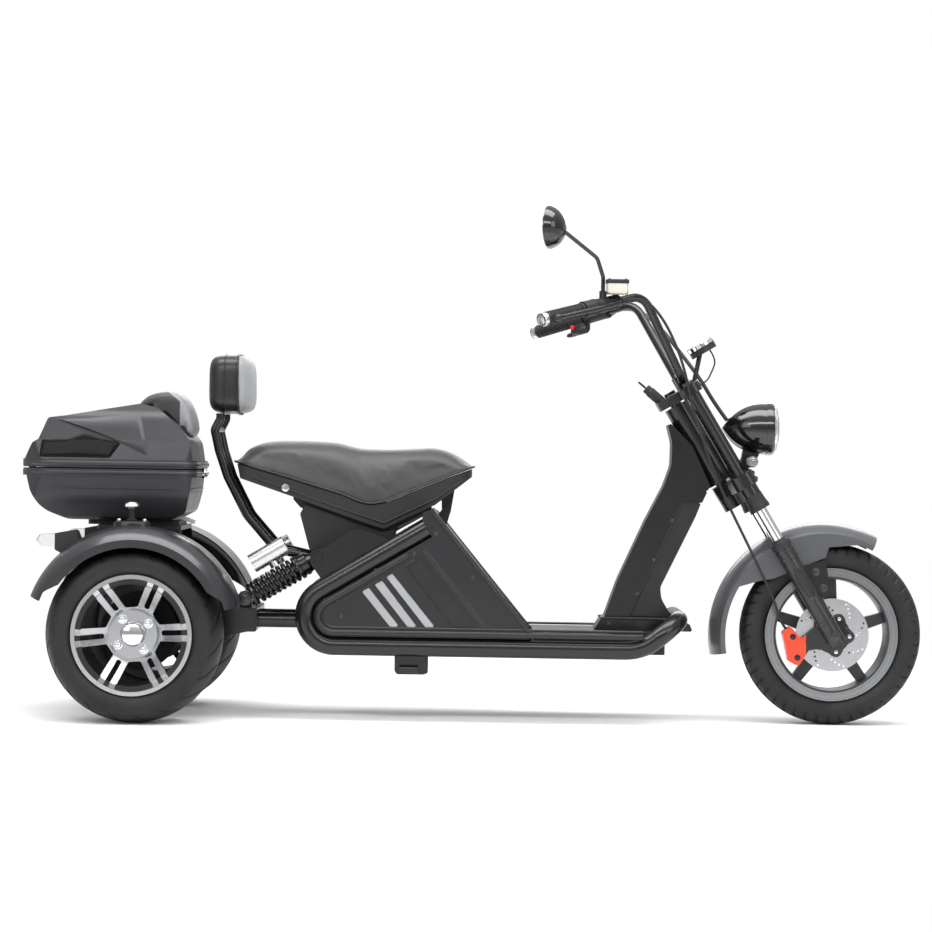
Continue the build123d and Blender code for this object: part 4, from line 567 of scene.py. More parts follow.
REFLECTOR = ([(-1086, 645), (-1078, 687)], [(-906, 645), (-881, 684)],
             [(-1078, 688), (-1016, 692), (-973, 710), (-881, 684)], 3.4)
FOLD = ([(-958, 716), (-1050, 741)], [(-812, 650), (-838, 757)], [(-1050, 741), (-966, 744), (-838, 757)],
        4.2)
for name, shape_of, finish in (("lid_reflectors", REFLECTOR, smoked), ("lid_folds", FOLD, case_plastic)):
    bits = []
    for s in (-1, 1):
        x, z, out = lid_panel(*shape_of)
        bits.append(slab(*[np.stack([x, s * lid_side(x, z, o), z], -1) for o in (out, -3.0 + 0 * out)]))
    piece(name, bits, finish, "case_lid", sharp=20)


def case_loop(grow, z):
    """The case's plan, a rounded rectangle with 90 mm rear and 50 mm front corners, grown, at height z."""
    arcs = [arc_points((-745, -158), 50 + grow, 270, 360, 14), arc_points((-745, 158), 50 + grow, 0, 90, 14),
            arc_points((-1043, 118), 90 + grow, 90, 180, 18),
            arc_points((-1043, -118), 90 + grow, 180, 270, 18)]
    flat = np.concatenate(arcs)
    return np.stack([flat[:, 0], flat[:, 1], np.full(len(flat), float(z))], -1)


def run_out(grow, z, sink=-4):
    """The case's plan as a path for a bead, and the bead's share of its full size, which falls to a twentieth
    over the last 40 mm before the lid's hinge while the path sinks into the wall."""
    path = case_loop(grow, z)
    share = np.clip((path[:, :1] + 1126.5) / 40, 0.05, 1.0)
    return path + (1 - share) * (case_loop(sink, z) - path), share


def hoop_of(path, profile, up=(0.0, 0.0, 1.0), share=1.0):
    """A profile carried round a closed path, scaled by its share at each point."""
    way = np.roll(path, -1, axis=0) - np.roll(path, 1, axis=0)
    way /= np.linalg.norm(way, axis=1)[:, None]
    side = np.cross(way, np.broadcast_to(up, way.shape))
    side /= np.linalg.norm(side, axis=1)[:, None]
    rise = np.cross(side, way)
    wide, high = [np.atleast_2d(share * profile[:, k])[..., None] for k in (0, 1)]
    return skin(path[:, None] + wide * side[:, None] + high * rise[:, None], around=True, along=True,
                caps=False)


def rim_bead(profile, *place):
    """A bead round the case that thins out before the hinge."""
    path, share = run_out(*place)
    return hoop_of(path, profile, share=share)


piece("lid_rim_bead", rim_bead(circle(4.0, 10, 1.6), 0.4, 631), case_plastic, "case_lid")
tub_beads = [rim_bead(circle(3.2, 10, 1.5), 0.2, 609), rim_bead(circle(2.0, 8), -11, 570, -26)]
piece("tub_rim_bead", tub_beads, case_plastic, "chassis")
gasket = coated("black_gasket_rubber", "#101011", 0.7, grain=1.5, depth=0.04)
piece("case_gasket", rim_bead(circle(6.0, 12, 0.2), -9, 619.4, -16), gasket, "chassis")
LOCK_ROWS = [(-1, 13), (6, 13), (9, 11.5), (10, 8), (13.5, 8), (14.5, 6.5), (14.5, 0.01)]
lock = lathe(LOCK_ROWS, (-695, 0, 609), (1, 0, 0), 32)
piece("case_lock", lock, chrome, "chassis", sharp=25)
LEVER = np.array([(-757, 497), (-735, 499), (-716, 493), (-702, 488)], float)
BLADE = np.array([(-4, -14), (4, -14), (5, -12), (5, 12), (4, 14), (-4, 14), (-5, 12), (-5, -12)], float)
release = skin(strip(at_y(LEVER, -118), BLADE))
piece("case_release", release, silver_plastic, "chassis")

# Lid pad: a foam pad for the passenger's back, bolted to the lid's front and covered in black leather with a
# pale hide sewn on its front.
def leather(name, colour, rough, pebble, panel=None):
    """Pebbled leather: cell noise of pebble millimetres sinks the creases, and slow noise moves the colour.
    panel gives the colour of a second hide sewn on ahead of x, whose edge leans back by lean metres for each
    metre above z."""
    made, t = blank(name)
    at = put(t, "TexCoord").outputs["Object"]
    cell = put(t, "TexVoronoi", {"Vector": at, "Scale": 1000 / pebble}, feature="DISTANCE_TO_EDGE")
    slow = put(t, "TexNoise", {"Vector": at, "Scale": 22.0, "Detail": 5.0})
    crease = put(t, "MapRange", {"Value": cell.outputs["Distance"], "From Max": 0.22})
    base = np.array(linear(colour))[:3]
    tone = put(t, "MixRGB", {"Fac": slow, "Color1": (*(base * 0.86), 1),
                             "Color2": (*np.minimum(base * 1.14, 1), 1)})
    if panel:
        second, edge_x, edge_z, lean = panel
        split = put(t, "SeparateXYZ", [at])
        over = put(t, "Math", (split.outputs["Z"], edge_z), operation="SUBTRACT")
        above = put(t, "Math", (over, 0.0), operation="MAXIMUM")
        ahead = put(t, "Math", (above, lean, split.outputs["X"]), operation="MULTIPLY_ADD")
        front = put(t, "Math", (ahead, edge_x), operation="GREATER_THAN")
        tone = put(t, "MixRGB", {"Fac": front, "Color1": tone, "Color2": linear(second)})
    heights = put(t, "Math", (crease, slow), operation="ADD")
    rise = put(t, "Bump", {"Height": heights, "Strength": 0.5, "Distance": 0.0002})
    look = put(t, "BsdfPrincipled", {"Base Color": tone, "Roughness": rough, "Normal": rise,
                                     "Sheen Weight": 0.12, "Sheen Roughness": 0.5})
    put(t, "OutputMaterial", {"Surface": look})
    return made


def swell(made, cap, rest, voxel=6.0, pressure=4.0):
    """Foam under its cover: remeshed, blown up as cloth for 20 frames, each point's move capped at cap
    millimetres and scaled by rest(points), which is 0 where the pad lies on something."""
    bpy.context.view_layer.objects.active = made
    even = made.modifiers.new("even_mesh", "REMESH")
    even.mode, even.voxel_size, even.use_smooth_shade = "VOXEL", voxel / 1000, True
    bpy.ops.object.modifier_apply(modifier=even.name)
    start = np.empty(len(made.data.vertices) * 3)
    made.data.vertices.foreach_get("co", start)
    start = start.reshape(-1, 3)
    cover = made.modifiers.new("cover", "CLOTH")
    cover.settings.use_pressure = True
    cover.settings.uniform_pressure_force = pressure
    cover.settings.effector_weights.gravity = 0
    cover.point_cache.frame_start, cover.point_cache.frame_end = 1, 20
    for step in range(1, 21):
        scene.frame_set(step)
    blown = made.evaluated_get(bpy.context.evaluated_depsgraph_get())
    end = np.empty(len(start) * 3)
    blown.data.vertices.foreach_get("co", end)
    move = end.reshape(-1, 3) - start
    made.modifiers.remove(cover)
    scene.frame_set(1)
    size = np.linalg.norm(move, axis=1)
    move *= (np.minimum(1, cap / 1000 / np.maximum(size, 1e-9)) * rest(start * 1000))[:, None]
    made.data.vertices.foreach_set("co", (start + move).ravel())
    made.data.update()
    made.data.shade_smooth()
    finer = made.modifiers.new("smooth_cover", "SUBSURF")
    finer.levels = finer.render_levels = 1
    return made


PAD_LINE = np.array([(-856, 778), (-847, 789), (-832, 801), (-812, 808), (-788, 811), (-764, 811),
                     (-748, 804), (-735, 790), (-722, 767), (-713, 740), (-709, 716), (-714, 701),
                     (-722, 695), (-718, 699), (-731, 717), (-752, 739), (-775, 758), (-800, 774),
                     (-828, 783)], float)
PAD_HALF, PAD_HOLD = 95.0, np.array([-775.0, 757.0])
across = np.sin(np.linspace(-pi / 2, pi / 2, 33)) * PAD_HALF
draw = (1 - np.abs(across / PAD_HALF) ** 5).clip(1e-4) ** (1 / 4)
pad_grid = np.stack([at_y(PAD_HOLD + (PAD_LINE - PAD_HOLD) * k, y)
                     for y, k in zip(across, draw * 0.45 + 0.55)])
pad_leather = leather("two_tone_pad_leather", "#2b2b2d", 0.44, 2.2, ("#87888a", -0.746, 0.79, 1.3))
pad = piece("lid_pad_cover", skin(pad_grid), pad_leather, "case_lid", ["lid_pad"], sharp=80)
swell(pad, 6, lambda p: np.clip(np.linalg.norm(p[:, [0, 2]] - PAD_HOLD, axis=1) / 26 - 0.9, 0, 1), 5.0, 3.0)

# Seat: a moulded pan with a foam cushion in black leather, stapled under its edge. The cushion rises in a
# step under the passenger, is crowned across, and a piped seam runs round its lower edge.
black_leather = leather("black_seat_leather", "#2b2b2d", 0.44, 2.2)
gloss_trim = coated("black_piping", "#121213", 0.35, grain=1.5, depth=0.03)
rubber = coated("black_grip_rubber", "#18181a", 0.6, grain=1.2, depth=0.05)
polished_steel = coated("polished_steel", "#d2d3d5", 0.16, metal=1.0, grain=3.0, depth=0.004, mottle=0.04)
SEAT_TOP = np.array([(-606, 641), (-596, 655), (-571, 674), (-535, 689), (-490, 693), (-420, 693),
                     (-349, 690), (-317, 681), (-290, 675), (-218, 674), (-136, 679), (-90, 682),
                     (-62, 677), (-41, 666), (-20, 651), (-5, 638)], float)
SEAT_LOW = np.array([(-606, 639), (-472, 602), (-329, 560), (-293, 544), (-261, 538), (-226, 545),
                     (-168, 570), (-79, 607), (-5, 635)], float)
SEAT_ENDS, SEAT_TUCK = (-606.0, -5.0), 4.0
reach = (1 - np.cos(np.linspace(0, pi, 110))) / 2
seat_x = SEAT_ENDS[0] + (SEAT_ENDS[1] - SEAT_ENDS[0]) * reach


def smoothed(line, x, spread=16.0):
    """A line of (x, z) points read at x and blurred by a bell curve spread millimetres wide."""
    shift = np.linspace(-2, 2, 21)
    weight = np.exp(-shift ** 2)
    read = np.interp(x[:, None] + spread * shift, line[:, 0], line[:, 1])
    return (read * weight).sum(axis=1) / weight.sum()


def seat_half(x):
    """Half the seat's width at x: 140 mm under the passenger, 92 mm at the nose, corners of 60 and 50 mm."""
    plain = np.interp(x, (-620, -300, -4), (140, 128, 92))
    rear = 60 - np.sqrt(np.maximum(60 ** 2 - np.clip(60 - (x + 606), 0, 60) ** 2, 0))
    nose = 50 - np.sqrt(np.maximum(50 ** 2 - np.clip(50 - (-5 - x), 0, 50) ** 2, 0))
    return plain - rear - nose


low, half = smoothed(SEAT_LOW, seat_x, 8.0), seat_half(seat_x) - SEAT_TUCK
rise = np.maximum(smoothed(SEAT_TOP, seat_x) - low - SEAT_TUCK, 0.5)
turn = np.linspace(0, pi, 45)
arch_y = np.sign(np.cos(turn)) * np.abs(np.cos(turn)) ** (2 / 3.0)
arch_z = np.abs(np.sin(turn)) ** (2 / 2.4)
over = np.stack([seat_x[:, None] + 0 * turn, half[:, None] * arch_y, low[:, None] + rise[:, None] * arch_z],
                -1)
under_y = np.linspace(-1, 1, 17)[1:-1]
under = np.stack([seat_x[:, None] + 0 * under_y, half[:, None] * under_y, low[:, None] + 0 * under_y], -1)
cushion = piece("seat_cover", skin(np.concatenate([over, under], axis=1)), black_leather, "seat",
                ["seat_cushion"], sharp=80)
swell(cushion, 7, lambda p: np.clip((p[:, 2] - np.interp(p[:, 0], seat_x, low) - 5) / 30, 0, 1))
edge = np.stack([seat_x, half + 2.2, low + 3.5], -1)
loop = np.concatenate([edge * [1, -1, 1], edge[::-1]])
step = np.linalg.norm(np.roll(loop, -1, axis=0) - loop, axis=1) > 0.8
piece("seat_piping", hoop_of(loop[step], circle(3.0, 10)), gloss_trim, "seat")
# Painted shade: a black rubber sheet hangs inside the gap under the seat's lower edge and stands in for the
# shade that falls in that gap.
GAP_SHADE_LOW = np.array([(-468, 558), (-346, 517), (-265, 489), (-229, 478), (-104, 540)], float)
gap_shade_x = np.linspace(-458, -112, 60)
base = np.interp(gap_shade_x, *GAP_SHADE_LOW.T)
fall = np.interp(gap_shade_x, (-458, -440, -240, -215, -112), (6, 20, 26, 22, 14))
gap_shade_skirts = []
for s in (-1, 1):
    y = s * np.minimum(86, seat_half(gap_shade_x) - 22)
    gap_shade_skirts.append(slab(*[np.stack([np.stack([gap_shade_x, y + out, z], -1) for z in (base + 13, base - fall)])
                         for out in (-2.0, 2.0)]))
piece("seat_gap_shade_skirt", gap_shade_skirts, rubber, "seat")
SIDE_STEP = np.array([(-586, 612), (-467, 573), (-346, 532), (-265, 505), (-229, 493), (-160, 527),
                      (-101, 556), (-20, 614)], float)
step_x = np.linspace(-560, -40, 80)
step_line = np.stack([step_x, seat_half(step_x) - 6.2, np.interp(step_x, *SIDE_STEP.T)], -1)
ridge = [skin(strip(step_line * [1, s, 1], circle(3.5, 8))) for s in (-1, 1)]
piece("pan_ridge", ridge, rough_plastic, "seat")
LOCK_X, LOCK_Z = -476.0, 578.0
lock = lathe([(-3, 11), (4, 11), (6, 9.5), (6.5, 6.5), (5, 5.5), (5, 0.01)],
             (LOCK_X, 6 - seat_half(np.array([LOCK_X]))[0], LOCK_Z), (0, -1, 0), 32)
piece("seat_lock", lock, polished_steel, "seat", sharp=25)

# Backrest: a moulded rear shell and a foam pad in pale leather, clamped together round a piped seam and
# bolted to the steel hoop.
grey_leather = leather("pale_grey_leather", "#87888a", 0.50, 2.2)
BACK_MID, BACK_HALF, BACK_JOIN = 836.0, (128.0, 74.0), -601.0


def shield(x0, depth, power, rows, lean):
    """A rounded rectangle drawn in along x: x = x0 + depth sin(v)^(2/power), scale = cos(v)^(2/power), where
    lean moves the upper part ahead."""
    a = np.linspace(0, 2 * pi, 97)[:-1]
    y = BACK_HALF[0] * np.sign(np.cos(a)) * np.abs(np.cos(a)) ** 0.42
    z = BACK_HALF[1] * np.sign(np.sin(a)) * np.abs(np.sin(a)) ** 0.42
    v = np.linspace(0, pi / 2, rows)[:, None]
    size = np.maximum(np.cos(v), 1e-3) ** (2 / power)
    x = x0 + depth * np.sin(v) ** (2 / power) + lean * z[None] * size / BACK_HALF[1]
    return skin(np.stack([x, size * y, BACK_MID + size * z], -1))


shell_rows = shield(BACK_JOIN - 0.8, -74.0, 5.0, 22, 0.0)
piece("backrest_back", shell_rows, satin_plastic, "chassis", ["backrest_shell"], sharp=60)
back_pad = piece("backrest_cover", shield(BACK_JOIN + 0.8, 32.0, 2.9, 22, -2.0), grey_leather, "chassis",
                 ["backrest_pad"], sharp=80)
swell(back_pad, 5, lambda p: np.clip((p[:, 0] - BACK_JOIN - 3) / 12, 0, 1), 5.0, 3.0)
a = np.linspace(0, 2 * pi, 121)[:-1]
seam = np.stack([np.full(120, BACK_JOIN),
                 (BACK_HALF[0] + 0.3) * np.sign(np.cos(a)) * np.abs(np.cos(a)) ** 0.42,
                 BACK_MID + (BACK_HALF[1] + 0.3) * np.sign(np.sin(a)) * np.abs(np.sin(a)) ** 0.42], -1)
second_seam = seam * [1, 0.995, 1] - [32, 0, 0]
ribs = [hoop_of(seam, circle(3.0, 10), (1.0, 0.0, 0.0)),
        hoop_of(second_seam, circle(1.6, 8), (1.0, 0.0, 0.0))]
piece("backrest_seam", ribs, gloss_trim, "chassis")

# Steering column: a pressed and welded post with a screwed plastic cover on its front and a moulded collar
# round its foot. The seam between post and cover shows as a fine line with three screws.
dress(powder_black, "steering_column", "lower_yoke", "upper_yoke", "fork_tubes", "headlamp_bracket")
COLUMN_HALF, COLLAR_HALF = 43.6, 61.8
seam_line = np.linspace((522.0, 556.0), (393.0, 268.0), 30)
seams = [skin(strip(at_y(seam_line, s * COLUMN_HALF), circle(3.0, 8))) for s in (-1, 1)]
piece("column_seam", seams, rubber, "chassis")
collar_line = np.linspace((318.0, 262.0), (505.0, 262.0), 24)
collar = [skin(strip(at_y(collar_line, s * COLLAR_HALF), circle(2.6, 8))) for s in (-1, 1)]
piece("collar_bead", collar, satin_plastic, "chassis")


def screw_at(place, axis, r, h, sides=20):
    """A round or hexagonal bolt head on a thin washer."""
    washer = lathe([(-1.5, r * 1.45), (0.8, r * 1.45), (1.2, r * 1.3)], place, axis, 28)
    return [washer, lathe(rounded(r, h, h * 0.3), place, axis, sides)]


FRAME_SCREWS = [  # x, y, z, head radius, head height, sides
    (-245, 188, 376, 4.0, 2.4, 20), (-168, 188, 218, 4.0, 2.4, 20), (-97, 187, 470, 4.0, 2.2, 20),
    (-4, 187, 363, 4.0, 2.2, 20), (-330, 188, 262, 3.5, 2.0, 20), (497, 46, 510, 3.2, 2.0, 20),
    (452, 46, 410, 3.2, 2.0, 20), (412, 46, 322, 3.2, 2.0, 20), (340, 62, 246, 3.5, 2.0, 20),
    (506, 62, 246, 3.5, 2.0, 20), (-391, 151, 408, 12.0, 9.0, 6), (-572, 150, 300, 11.0, 8.0, 6),
    (-150, 188, 420, 3.5, 2.0, 20)]
heads = [bit for x, y, z, r, h, sides in FRAME_SCREWS for s in (-1, 1)
         for bit in screw_at((x, s * y, z), (0, s, 0), r, h, sides)]
oxide = coated("blackened_screw_steel", "#4a4b4d", 0.34, metal=0.9, grain=1.0, depth=0.01)
piece("frame_screws", heads, oxide, "chassis", sharp=28)

# Fork: black upper tubes in two clamps, polished stanchions and painted lower legs. Rubber seals, a pressed
# oval on each leg and steel bolts finish it, and a plate on each leg carries the front fender.
dress(polished_steel, "fork_stanchions", "front_axle")
leg_paint = coated("satin_black_leg_paint", "#1b1c1e", 0.34, grain=2.0, depth=0.02, coat=0.2)
dress(leg_paint, "fork_legs")
front_paint = coated("mid_grey_satin_paint", "#56575a", 0.32, metal=0.4, grain=0.7, depth=0.012, mottle=0.06,
                     coat=0.3)
dress(front_paint, "front_fender")
UP, AHEAD = np.array([-0.515038, 0, 0.857167]), np.array([0.857167, 0, 0.515038])
HEAD_ZERO = np.array([864.57, 0, 205.31])


def steer(a, y, u):
    """A point a millimetres ahead of the steering axis, y across and u up along it."""
    return HEAD_ZERO + a * AHEAD + u * UP + np.array([0.0, y, 0.0])


def boss(mid, wide, tall, rows, count=48):
    """An oval plate: rings mid + k (cos t wide + sin t tall) + h n for each (h, k) row, n square to both."""
    a = np.linspace(0, 2 * pi, count + 1)[:-1]
    out = np.cross(wide, tall)
    out = out / np.linalg.norm(out)
    ring_of = np.cos(a)[:, None] * np.array(wide, float) + np.sin(a)[:, None] * np.array(tall, float)
    return skin(np.stack([np.array(mid, float) + k * ring_of + h * out for h, k in rows]))


LEG, FORK_Y = 46.0, 92  # how far the legs stand ahead of the steering axis and out from the middle
seals, rings, bolts, pads, plates = [], [], [], [], []
for s in (-1, 1):
    seals.append(lathe([(-6, 23.2), (-6, 25.5), (4, 26), (9, 24.5), (12, 20), (17, 18.5), (17, 14.8)],
                       steer(LEG, s * FORK_Y, 262), UP, hollow=True))
    seals.append(lathe([(0, 24), (0, 27), (9, 27), (14, 25.5), (40, 23.6), (42, 23.6)],
                       steer(LEG, s * FORK_Y, 366), UP, hollow=True))
    rings += [lathe([(-5, 22.8), (-4, 24.6), (4, 24.6), (5, 22.8)], steer(LEG, s * FORK_Y, u), UP, hollow=True)
              for u in (40, 226, 246)]
    pads.append(boss(steer(LEG, s * 113.5, 152), UP * 50 * s, AHEAD * 14,
                     [(-1, 1), (2.2, 1), (3, 0.94), (3, 0.86), (1.2, 0.8), (1.2, 0.1)]))
    c = np.array([(818, 400), (884, 418), (898, 328), (868, 318)], float)
    grid = np.stack([np.linspace(c[0], c[1], 8), np.linspace(c[3], c[2], 8)])
    plates.append(slab(*[np.stack([grid[..., 0], 0 * grid[..., 0] + s * y, grid[..., 1]], -1)
                         for y in (75.0, 70.5)]))
    bolts += [bit for x, z in ((859, 387), (879, 347))
              for bit in screw_at((x, s * 75, z), (0, s, 0), 7, 5, 6)]
    bolts += [bit for u in (440, 456) for bit in screw_at(steer(76, s * FORK_Y, u), AHEAD, 5, 4, 6)]
    bolts += screw_at(steer(72, s * FORK_Y, 714), AHEAD, 5, 4, 6)
    bolts += screw_at(steer(20, s * 117.5, 714), (0, s, 0), 5, 4, 6)
    bolts += screw_at((904, s * 122.6, 229), (0, s, 0), 9.5, 6, 6)
    bolts.append(lathe(rounded(15.4, 9, 3), steer(LEG, s * FORK_Y, 727), UP, 6))
piece("fork_seals", seals, rubber, "steering")
piece("leg_rings", rings + pads, leg_paint, "steering", sharp=28)
piece("fender_plates", plates, powder_black, "steering")
piece("fork_bolts", bolts, oxide, "steering", sharp=28)

# Front wheel and brake: a dark cast alloy rim with a turned lip, a drilled steel disc on a scalloped black
# carrier, and an orange enamelled caliper bolted to the right leg.
front_alloy = wheel_alloy("dark_cast_alloy_turned_lip", FRONT_AXLE, "#8f9193", "#2c2d2f", 20, 147)
dress(front_alloy, "front_rim")
dress(coated("drilled_brake_steel", "#b9babc", 0.26, metal=1.0, grain=0.8, depth=0.012, mottle=0.06),
      "brake_disc")
orange = coated("orange_brake_enamel", "#e23c17", 0.30, grain=2.0, depth=0.03, coat=0.3)
caliper_coat = orange.copy()
caliper_coat.name = "orange_caliper_on_black_bracket"
t = caliper_coat.node_tree
paint = next(n for n in t.nodes if n.type == "BSDF_PRINCIPLED")
body_tone = paint.inputs["Base Color"].links[0].from_socket
side_of = put(t, "SeparateXYZ", [next(n for n in t.nodes if n.type == "TEX_COORD").outputs["Object"]])
bracket = put(t, "Math", (side_of.outputs["X"], 0.836), operation="GREATER_THAN")
two_tone = put(t, "MixRGB", {"Fac": bracket, "Color1": body_tone, "Color2": linear("#141517")})
t.links.new(two_tone.outputs[0], paint.inputs["Base Color"])
dress(caliper_coat, "brake_caliper")
a = np.linspace(0, 2 * pi, 121)[:-1]
lobe = 50 + 7 * np.cos(5 * a + 0.4)
star = np.stack([lobe * np.cos(a), 0 * a, lobe * np.sin(a)], -1)
rows = [(-0.4, 1.0), (1.6, 1.0), (2.4, 0.97), (2.4, 0.42), (1.6, 0.40), (1.6, 0.2)]
carrier = skin(np.stack([np.array([904.0, -61.4 - h, 229.0]) + star * k for h, k in rows]))
piece("disc_carrier", carrier, powder_black, "front_wheel")
studs = [lathe(rounded(5, 1.6, 0.8), (904 + 44 * cos(t), -63.6, 229 + 44 * sin(t)), (0, -1, 0), 18)
         for t in np.arange(5) * 2 * pi / 5 - 0.08]
piece("carrier_studs", studs, polished_steel, "front_wheel", sharp=28)
marks = [bit for x, z in ((803, 224), (815, 172)) for bit in screw_at((x, -85.3, z), (0, -1, 0), 5.5, 4, 6)]
piece("caliper_bolts", marks, powder_black, "steering", sharp=28)
ribs = [boss((x, -85.0, z), np.array([-0.55, 0, -0.84]) * 16, np.array([-0.84, 0, 0.55]) * 4,
             [(-1, 1), (2.2, 1), (3, 0.8), (3, 0.1)])
        for x, z in ((797, 205), (806, 198), (815, 191))]
piece("caliper_ribs", ribs, orange, "steering")
lips = [lathe([(-2.0, r - 2.2), (-0.4, r - 2.2), (0.9, r - 1.2), (0.9, r + 1.2), (-0.4, r + 2.2),
               (-2.0, r + 2.2)], (904, s * 46.6, 229), (0, s, 0), 96, hollow=True)
        for s in (-1, 1) for r in (152.5, 163.0)]
piece("front_rim_rings", lips, front_alloy, "front_wheel", sharp=28)

# Headlamp: a pressed steel bullet in gloss black with a rolled rim and a clear lens, on a bracket between the
# fork tubes, with a small indicator on a rubber stalk at each side.
gloss_black = coated("gloss_black_lacquer", "#0c0d0e", 0.16, grain=4.0, depth=0.008, coat=0.5)
dress(gloss_black, "headlamp_shell", "mirror_head")
glass, t = blank("clear_polycarbonate")
haze = put(t, "TexNoise", {"Vector": put(t, "TexCoord").outputs["Object"], "Scale": 240.0})
cloudy = put(t, "MapRange", {"Value": haze, "To Min": 0.03, "To Max": 0.09})
look = put(t, "BsdfPrincipled",
           {"Base Color": linear("#f1f3f5"), "Roughness": cloudy, "IOR": 1.58, "Transmission Weight": 0.85})
put(t, "OutputMaterial", {"Surface": look})
dress(glass, "headlamp_lens", "tail_lenses")
rim_rows = [(-12, 64.6), (-12, 66.6), (-3, 67.4), (3, 67.0), (5, 65.0), (5, 63.4)]
rim = [lathe(rim_rows, (745, 0, 746), (1, 0, 0), 72, hollow=True)]
rim += [bit for y in (-50, 50) for bit in screw_at((742, y, 746 - 44), (0, np.sign(y), -0.9), 4, 3)]
piece("headlamp_rim", rim, gloss_black, "steering", sharp=28)
bulbs = [lathe([(-2, 13.6), (1, 14.4), (9, 13.6), (14, 10), (16.5, 5), (17, 0.01)], (691.7, s * 111, 662),
               (0, s, 0), 36) for s in (-1, 1)]
piece("indicator_lenses", bulbs, glass, "steering")

# Handlebar and controls: a bent steel bar in black with ribbed rubber grips and bright end weights. Levers,
# switches, the brake fluid reservoir, the dial and the mirror clamp onto it.
dress(powder_black, "handlebar", "brake_levers")
dress(rough_plastic, "speedometer", "bar_controls")
INWARD, OUTWARD = np.array([0.77733, -0.58773, 0.22435]), np.array([0.60311, 0.79766, 0])
GRIP_END = np.array([160.0, 384.0, 999.0])


def on_bar(s, out=0.0, lift=0.0):
    """A point s along the left grip from its end, moved ahead of the bar and up."""
    return GRIP_END + s * INWARD + out * OUTWARD + np.array([0, 0, lift])


along = np.linspace(1.4, 117.6, 120)
ridged = 16.4 + 0.9 * np.sign(np.sin(along * 2 * pi / 6.4)) * (np.abs(along - 60) < 50)
ridged += 1.6 * (along > 111) + 1.0 * (along < 6)
grip_rows = np.concatenate([[(1.4, 11.4)], np.stack([along, ridged], -1), [(117.6, 11.4)]])
end_rows = [(1.2, 15.0), (1.2, 16.6), (-10, 16.6), (-13, 15.6), (-15, 12), (-15.6, 0.01)]
flips = ((1.0, 1.0, 1.0), (1.0, -1.0, 1.0))
piece("ribbed_grips", [lathe(grip_rows, GRIP_END * k, INWARD * k, 40, hollow=True) for k in flips], rubber,
      "steering", ["grips"], sharp=28)
piece("bar_end_weights", [lathe(end_rows, GRIP_END * k, INWARD * k, 40) for k in flips], turned_alloy,
      "steering", sharp=28)
collars = [lathe([(s0, 12), (s0, r), (s1, r), (s1, 12)], GRIP_END * k, INWARD * k, 36, hollow=True)
           for k in flips for s0, s1, r in ((119.5, 124, 20.5), (152, 155.5, 20.5), (164, 167, 18.6),
                                            (224, 227.5, 18.6))]
piece("control_collars", collars, rough_plastic, "steering", sharp=28)


def block(mid, x_half, y_half, z_half, power=5.0, count=40):
    """A rounded box: a superquadric with the given half sides, as vectors, and corner power."""
    u, v = np.meshgrid(np.linspace(0, 2 * pi, count + 1)[:-1], np.linspace(-pi / 2, pi / 2, count // 2 + 1))
    waves = np.stack([np.cos(u), np.sin(u), np.cos(v), np.sin(v)])
    cos_u, sin_u, cos_v, sin_v = np.sign(waves) * np.abs(waves) ** (2 / power)
    parts = np.stack([cos_v * cos_u, cos_v * sin_u, sin_v], -1)
    return skin(np.array(mid, float) + parts @ np.array([x_half, y_half, z_half], float), caps=False)


TANK = np.array([338.1, -276.9, 1084.6])
milky = coated("milky_reservoir_plastic", "#c8c6b8", 0.35, grain=2.0, depth=0.01, mottle=0.04)
piece("fluid_tank", block(TANK - [0, 0, 3], (27, 0, 0), (0, 22, 0), (0, 0, 15), 7.0), milky, "steering",
      sharp=40)
cap = [block(TANK + [0, 0, 13.5], (28.5, 0, 0), (0, 23.5, 0), (0, 0, 5.5), 8.0)]
cap += [lathe(rounded(3.2, 2, 0.8), TANK + [x, y, 18.4], (0, 0, 1), 16) for x in (-20, 20) for y in (-15, 15)]
piece("tank_cap", cap, rough_plastic, "steering", sharp=40)
pods = [block(on_bar(140, 2, -24), INWARD * 24, OUTWARD * 19, (0, 0, 15), 4.0),
        block(on_bar(118, 4, -34), INWARD * 22, OUTWARD * 9, (0, 0, 6), 3.0)]
pods += [lathe([(-14, 0.01), (-14, 9), (-10, 11), (14, 11), (18, 9), (18, 0.01)], on_bar(152, -8, -32),
               INWARD, 28)]
piece("switch_pod", pods, rough_plastic, "steering", sharp=40)
red = coated("red_button_plastic", "#c4161c", 0.35, grain=2.0, depth=0.02)
piece("red_button", lathe(rounded(6.5, 6, 2), on_bar(128, -16, -20), -OUTWARD, 24), red, "steering")
balls = [lathe([(-9, 0.01), (-8, 5), (-4, 8), (0, 9), (4, 8), (8, 5.6), (16, 5.6), (17, 0.01)],
               on_bar(12, 38) * k, (on_bar(60, 40.5) - on_bar(12, 38)) * k, 28) for k in flips]
piece("lever_ends", balls, powder_black, "steering")
DIAL = steer(129, 0, 800)
bezel = lathe([(-8, 34.8), (-8, 36.6), (1, 36.6), (3.6, 35), (3.6, 32), (1.4, 30.5), (0.5, 30.4)], DIAL, UP,
              64, hollow=True)
piece("dial_bezel", bezel, chrome, "steering", sharp=28)
face_plastic = coated("black_dial_face", "#101114", 0.25, grain=3.0, depth=0.005)
piece("dial_face", lathe([(-1, 31), (1.0, 31), (1.6, 29), (1.8, 0.01)], DIAL, UP, 64), face_plastic,
      "steering")
across_dial = np.array([0.0, 1.0, 0.0])
ticks = []
for turn_at in np.radians(np.linspace(-40, 220, 14)):
    way = cos(turn_at) * across_dial + sin(turn_at) * AHEAD
    ticks.append(block(DIAL + way * 24.5 + UP * 1.9, way * 3.2, np.cross(way, UP) * 0.7, UP * 0.5, 6.0, 12))
ticks.append(block(DIAL + np.array([0, 6.0, 0]) + UP * 2.6, across_dial * 15 + AHEAD * 5, AHEAD * 0.9,
                   UP * 0.5, 6.0, 12))
piece("dial_marks", ticks, silver_plastic, "steering")
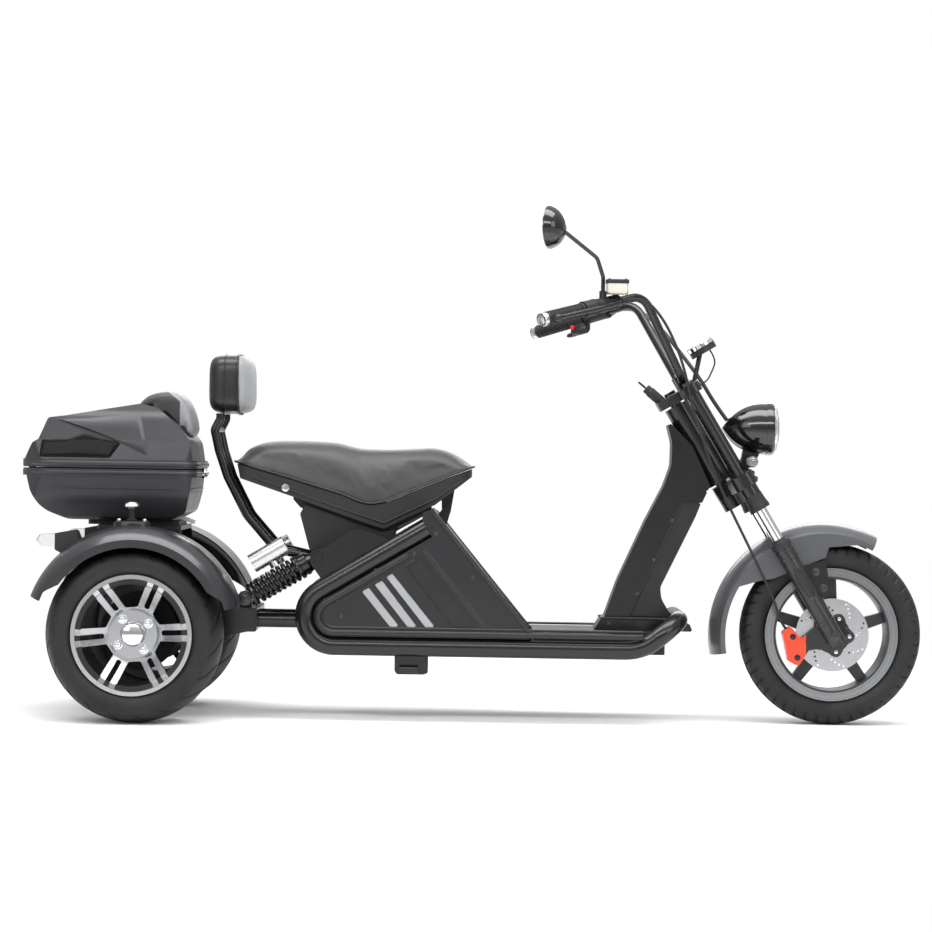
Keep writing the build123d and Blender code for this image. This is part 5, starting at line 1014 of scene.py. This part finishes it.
KEY_WAY = np.array([-0.77, 0.0, 0.64])
barrel = [lathe([(-22, 13), (18, 13), (20, 11.5), (30, 11.5), (32, 10), (32, 0.01)], (452, 0, 824), KEY_WAY,
                32)]
barrel.append(block(np.array([452, 0, 824]) + KEY_WAY * 44, KEY_WAY * 13, (0, 10, 0),
                    np.array([0.64, 0, 0.77]) * 2.6, 4.0, 24))
piece("ignition_key", barrel, rough_plastic, "steering", sharp=28)
silvered = coated("silvered_mirror_glass", "#eceef0", 0.03, metal=1.0, grain=9.0, depth=0.001, mottle=0.01)
dress(silvered, "mirror_glass")

# Brake hose, wiring sleeve and dial wire: a rubber hose from the reservoir down the right leg to the caliper,
# a woven sleeve from the switches into the headlamp, and a thin wire from the dial.
LINES = [  # name, diameter, length in metres, stiffness, points in millimetres
    ("brake_hose", 7.0, 0.995, "stiff",
     [(351.1, -260.8, 1051.2), (401.1, -234.3, 1068.1), (462, -190, 1010), (512, -150, 905), (536, -132, 800),
      (566, -125, 714), (598, -122, 620), (706, -120, 409), (752, -104, 318), (770, -76, 264),
      (785.6, -72, 243.6)]),
    ("wiring_sleeve", 10.0, 0.50, "medium",
     [(351.7, 262.2, 1051.1), (402.3, 235.9, 1066.1), (470, 180, 1012), (530, 118, 930), (572, 66, 870),
      (604, 40, 812), (635.96, 13.28, 766.93)]),
    ("dial_wire", 4.0, 0.11, "medium",
     [(589.35, 10, 944.89), (606.35, 10, 920.47), (596, 12, 890), (582, 12, 862), (560.09, 12, 853.0)]),
]
for name, diameter, length, stiffness, points in LINES:
    route = bpy.data.curves.new(name, "CURVE")
    route.dimensions = "3D"
    route.bevel_depth, route.bevel_resolution = diameter / 2000, 3
    route.use_fill_caps, route.resolution_u = True, 12
    run = route.splines.new("NURBS")
    run.points.add(len(points) - 1)
    weights = np.ones((len(points), 1))
    run.points.foreach_set("co", np.concatenate([np.array(points) * 0.001, weights], axis=1).ravel())
    run.order_u, run.use_endpoint_u = 3, True
    route.materials.append(rubber)
    line = bpy.data.objects.new(name, route)
    scene.collection.objects.link(line)
    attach(line, "steering")
    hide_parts("control_lines")
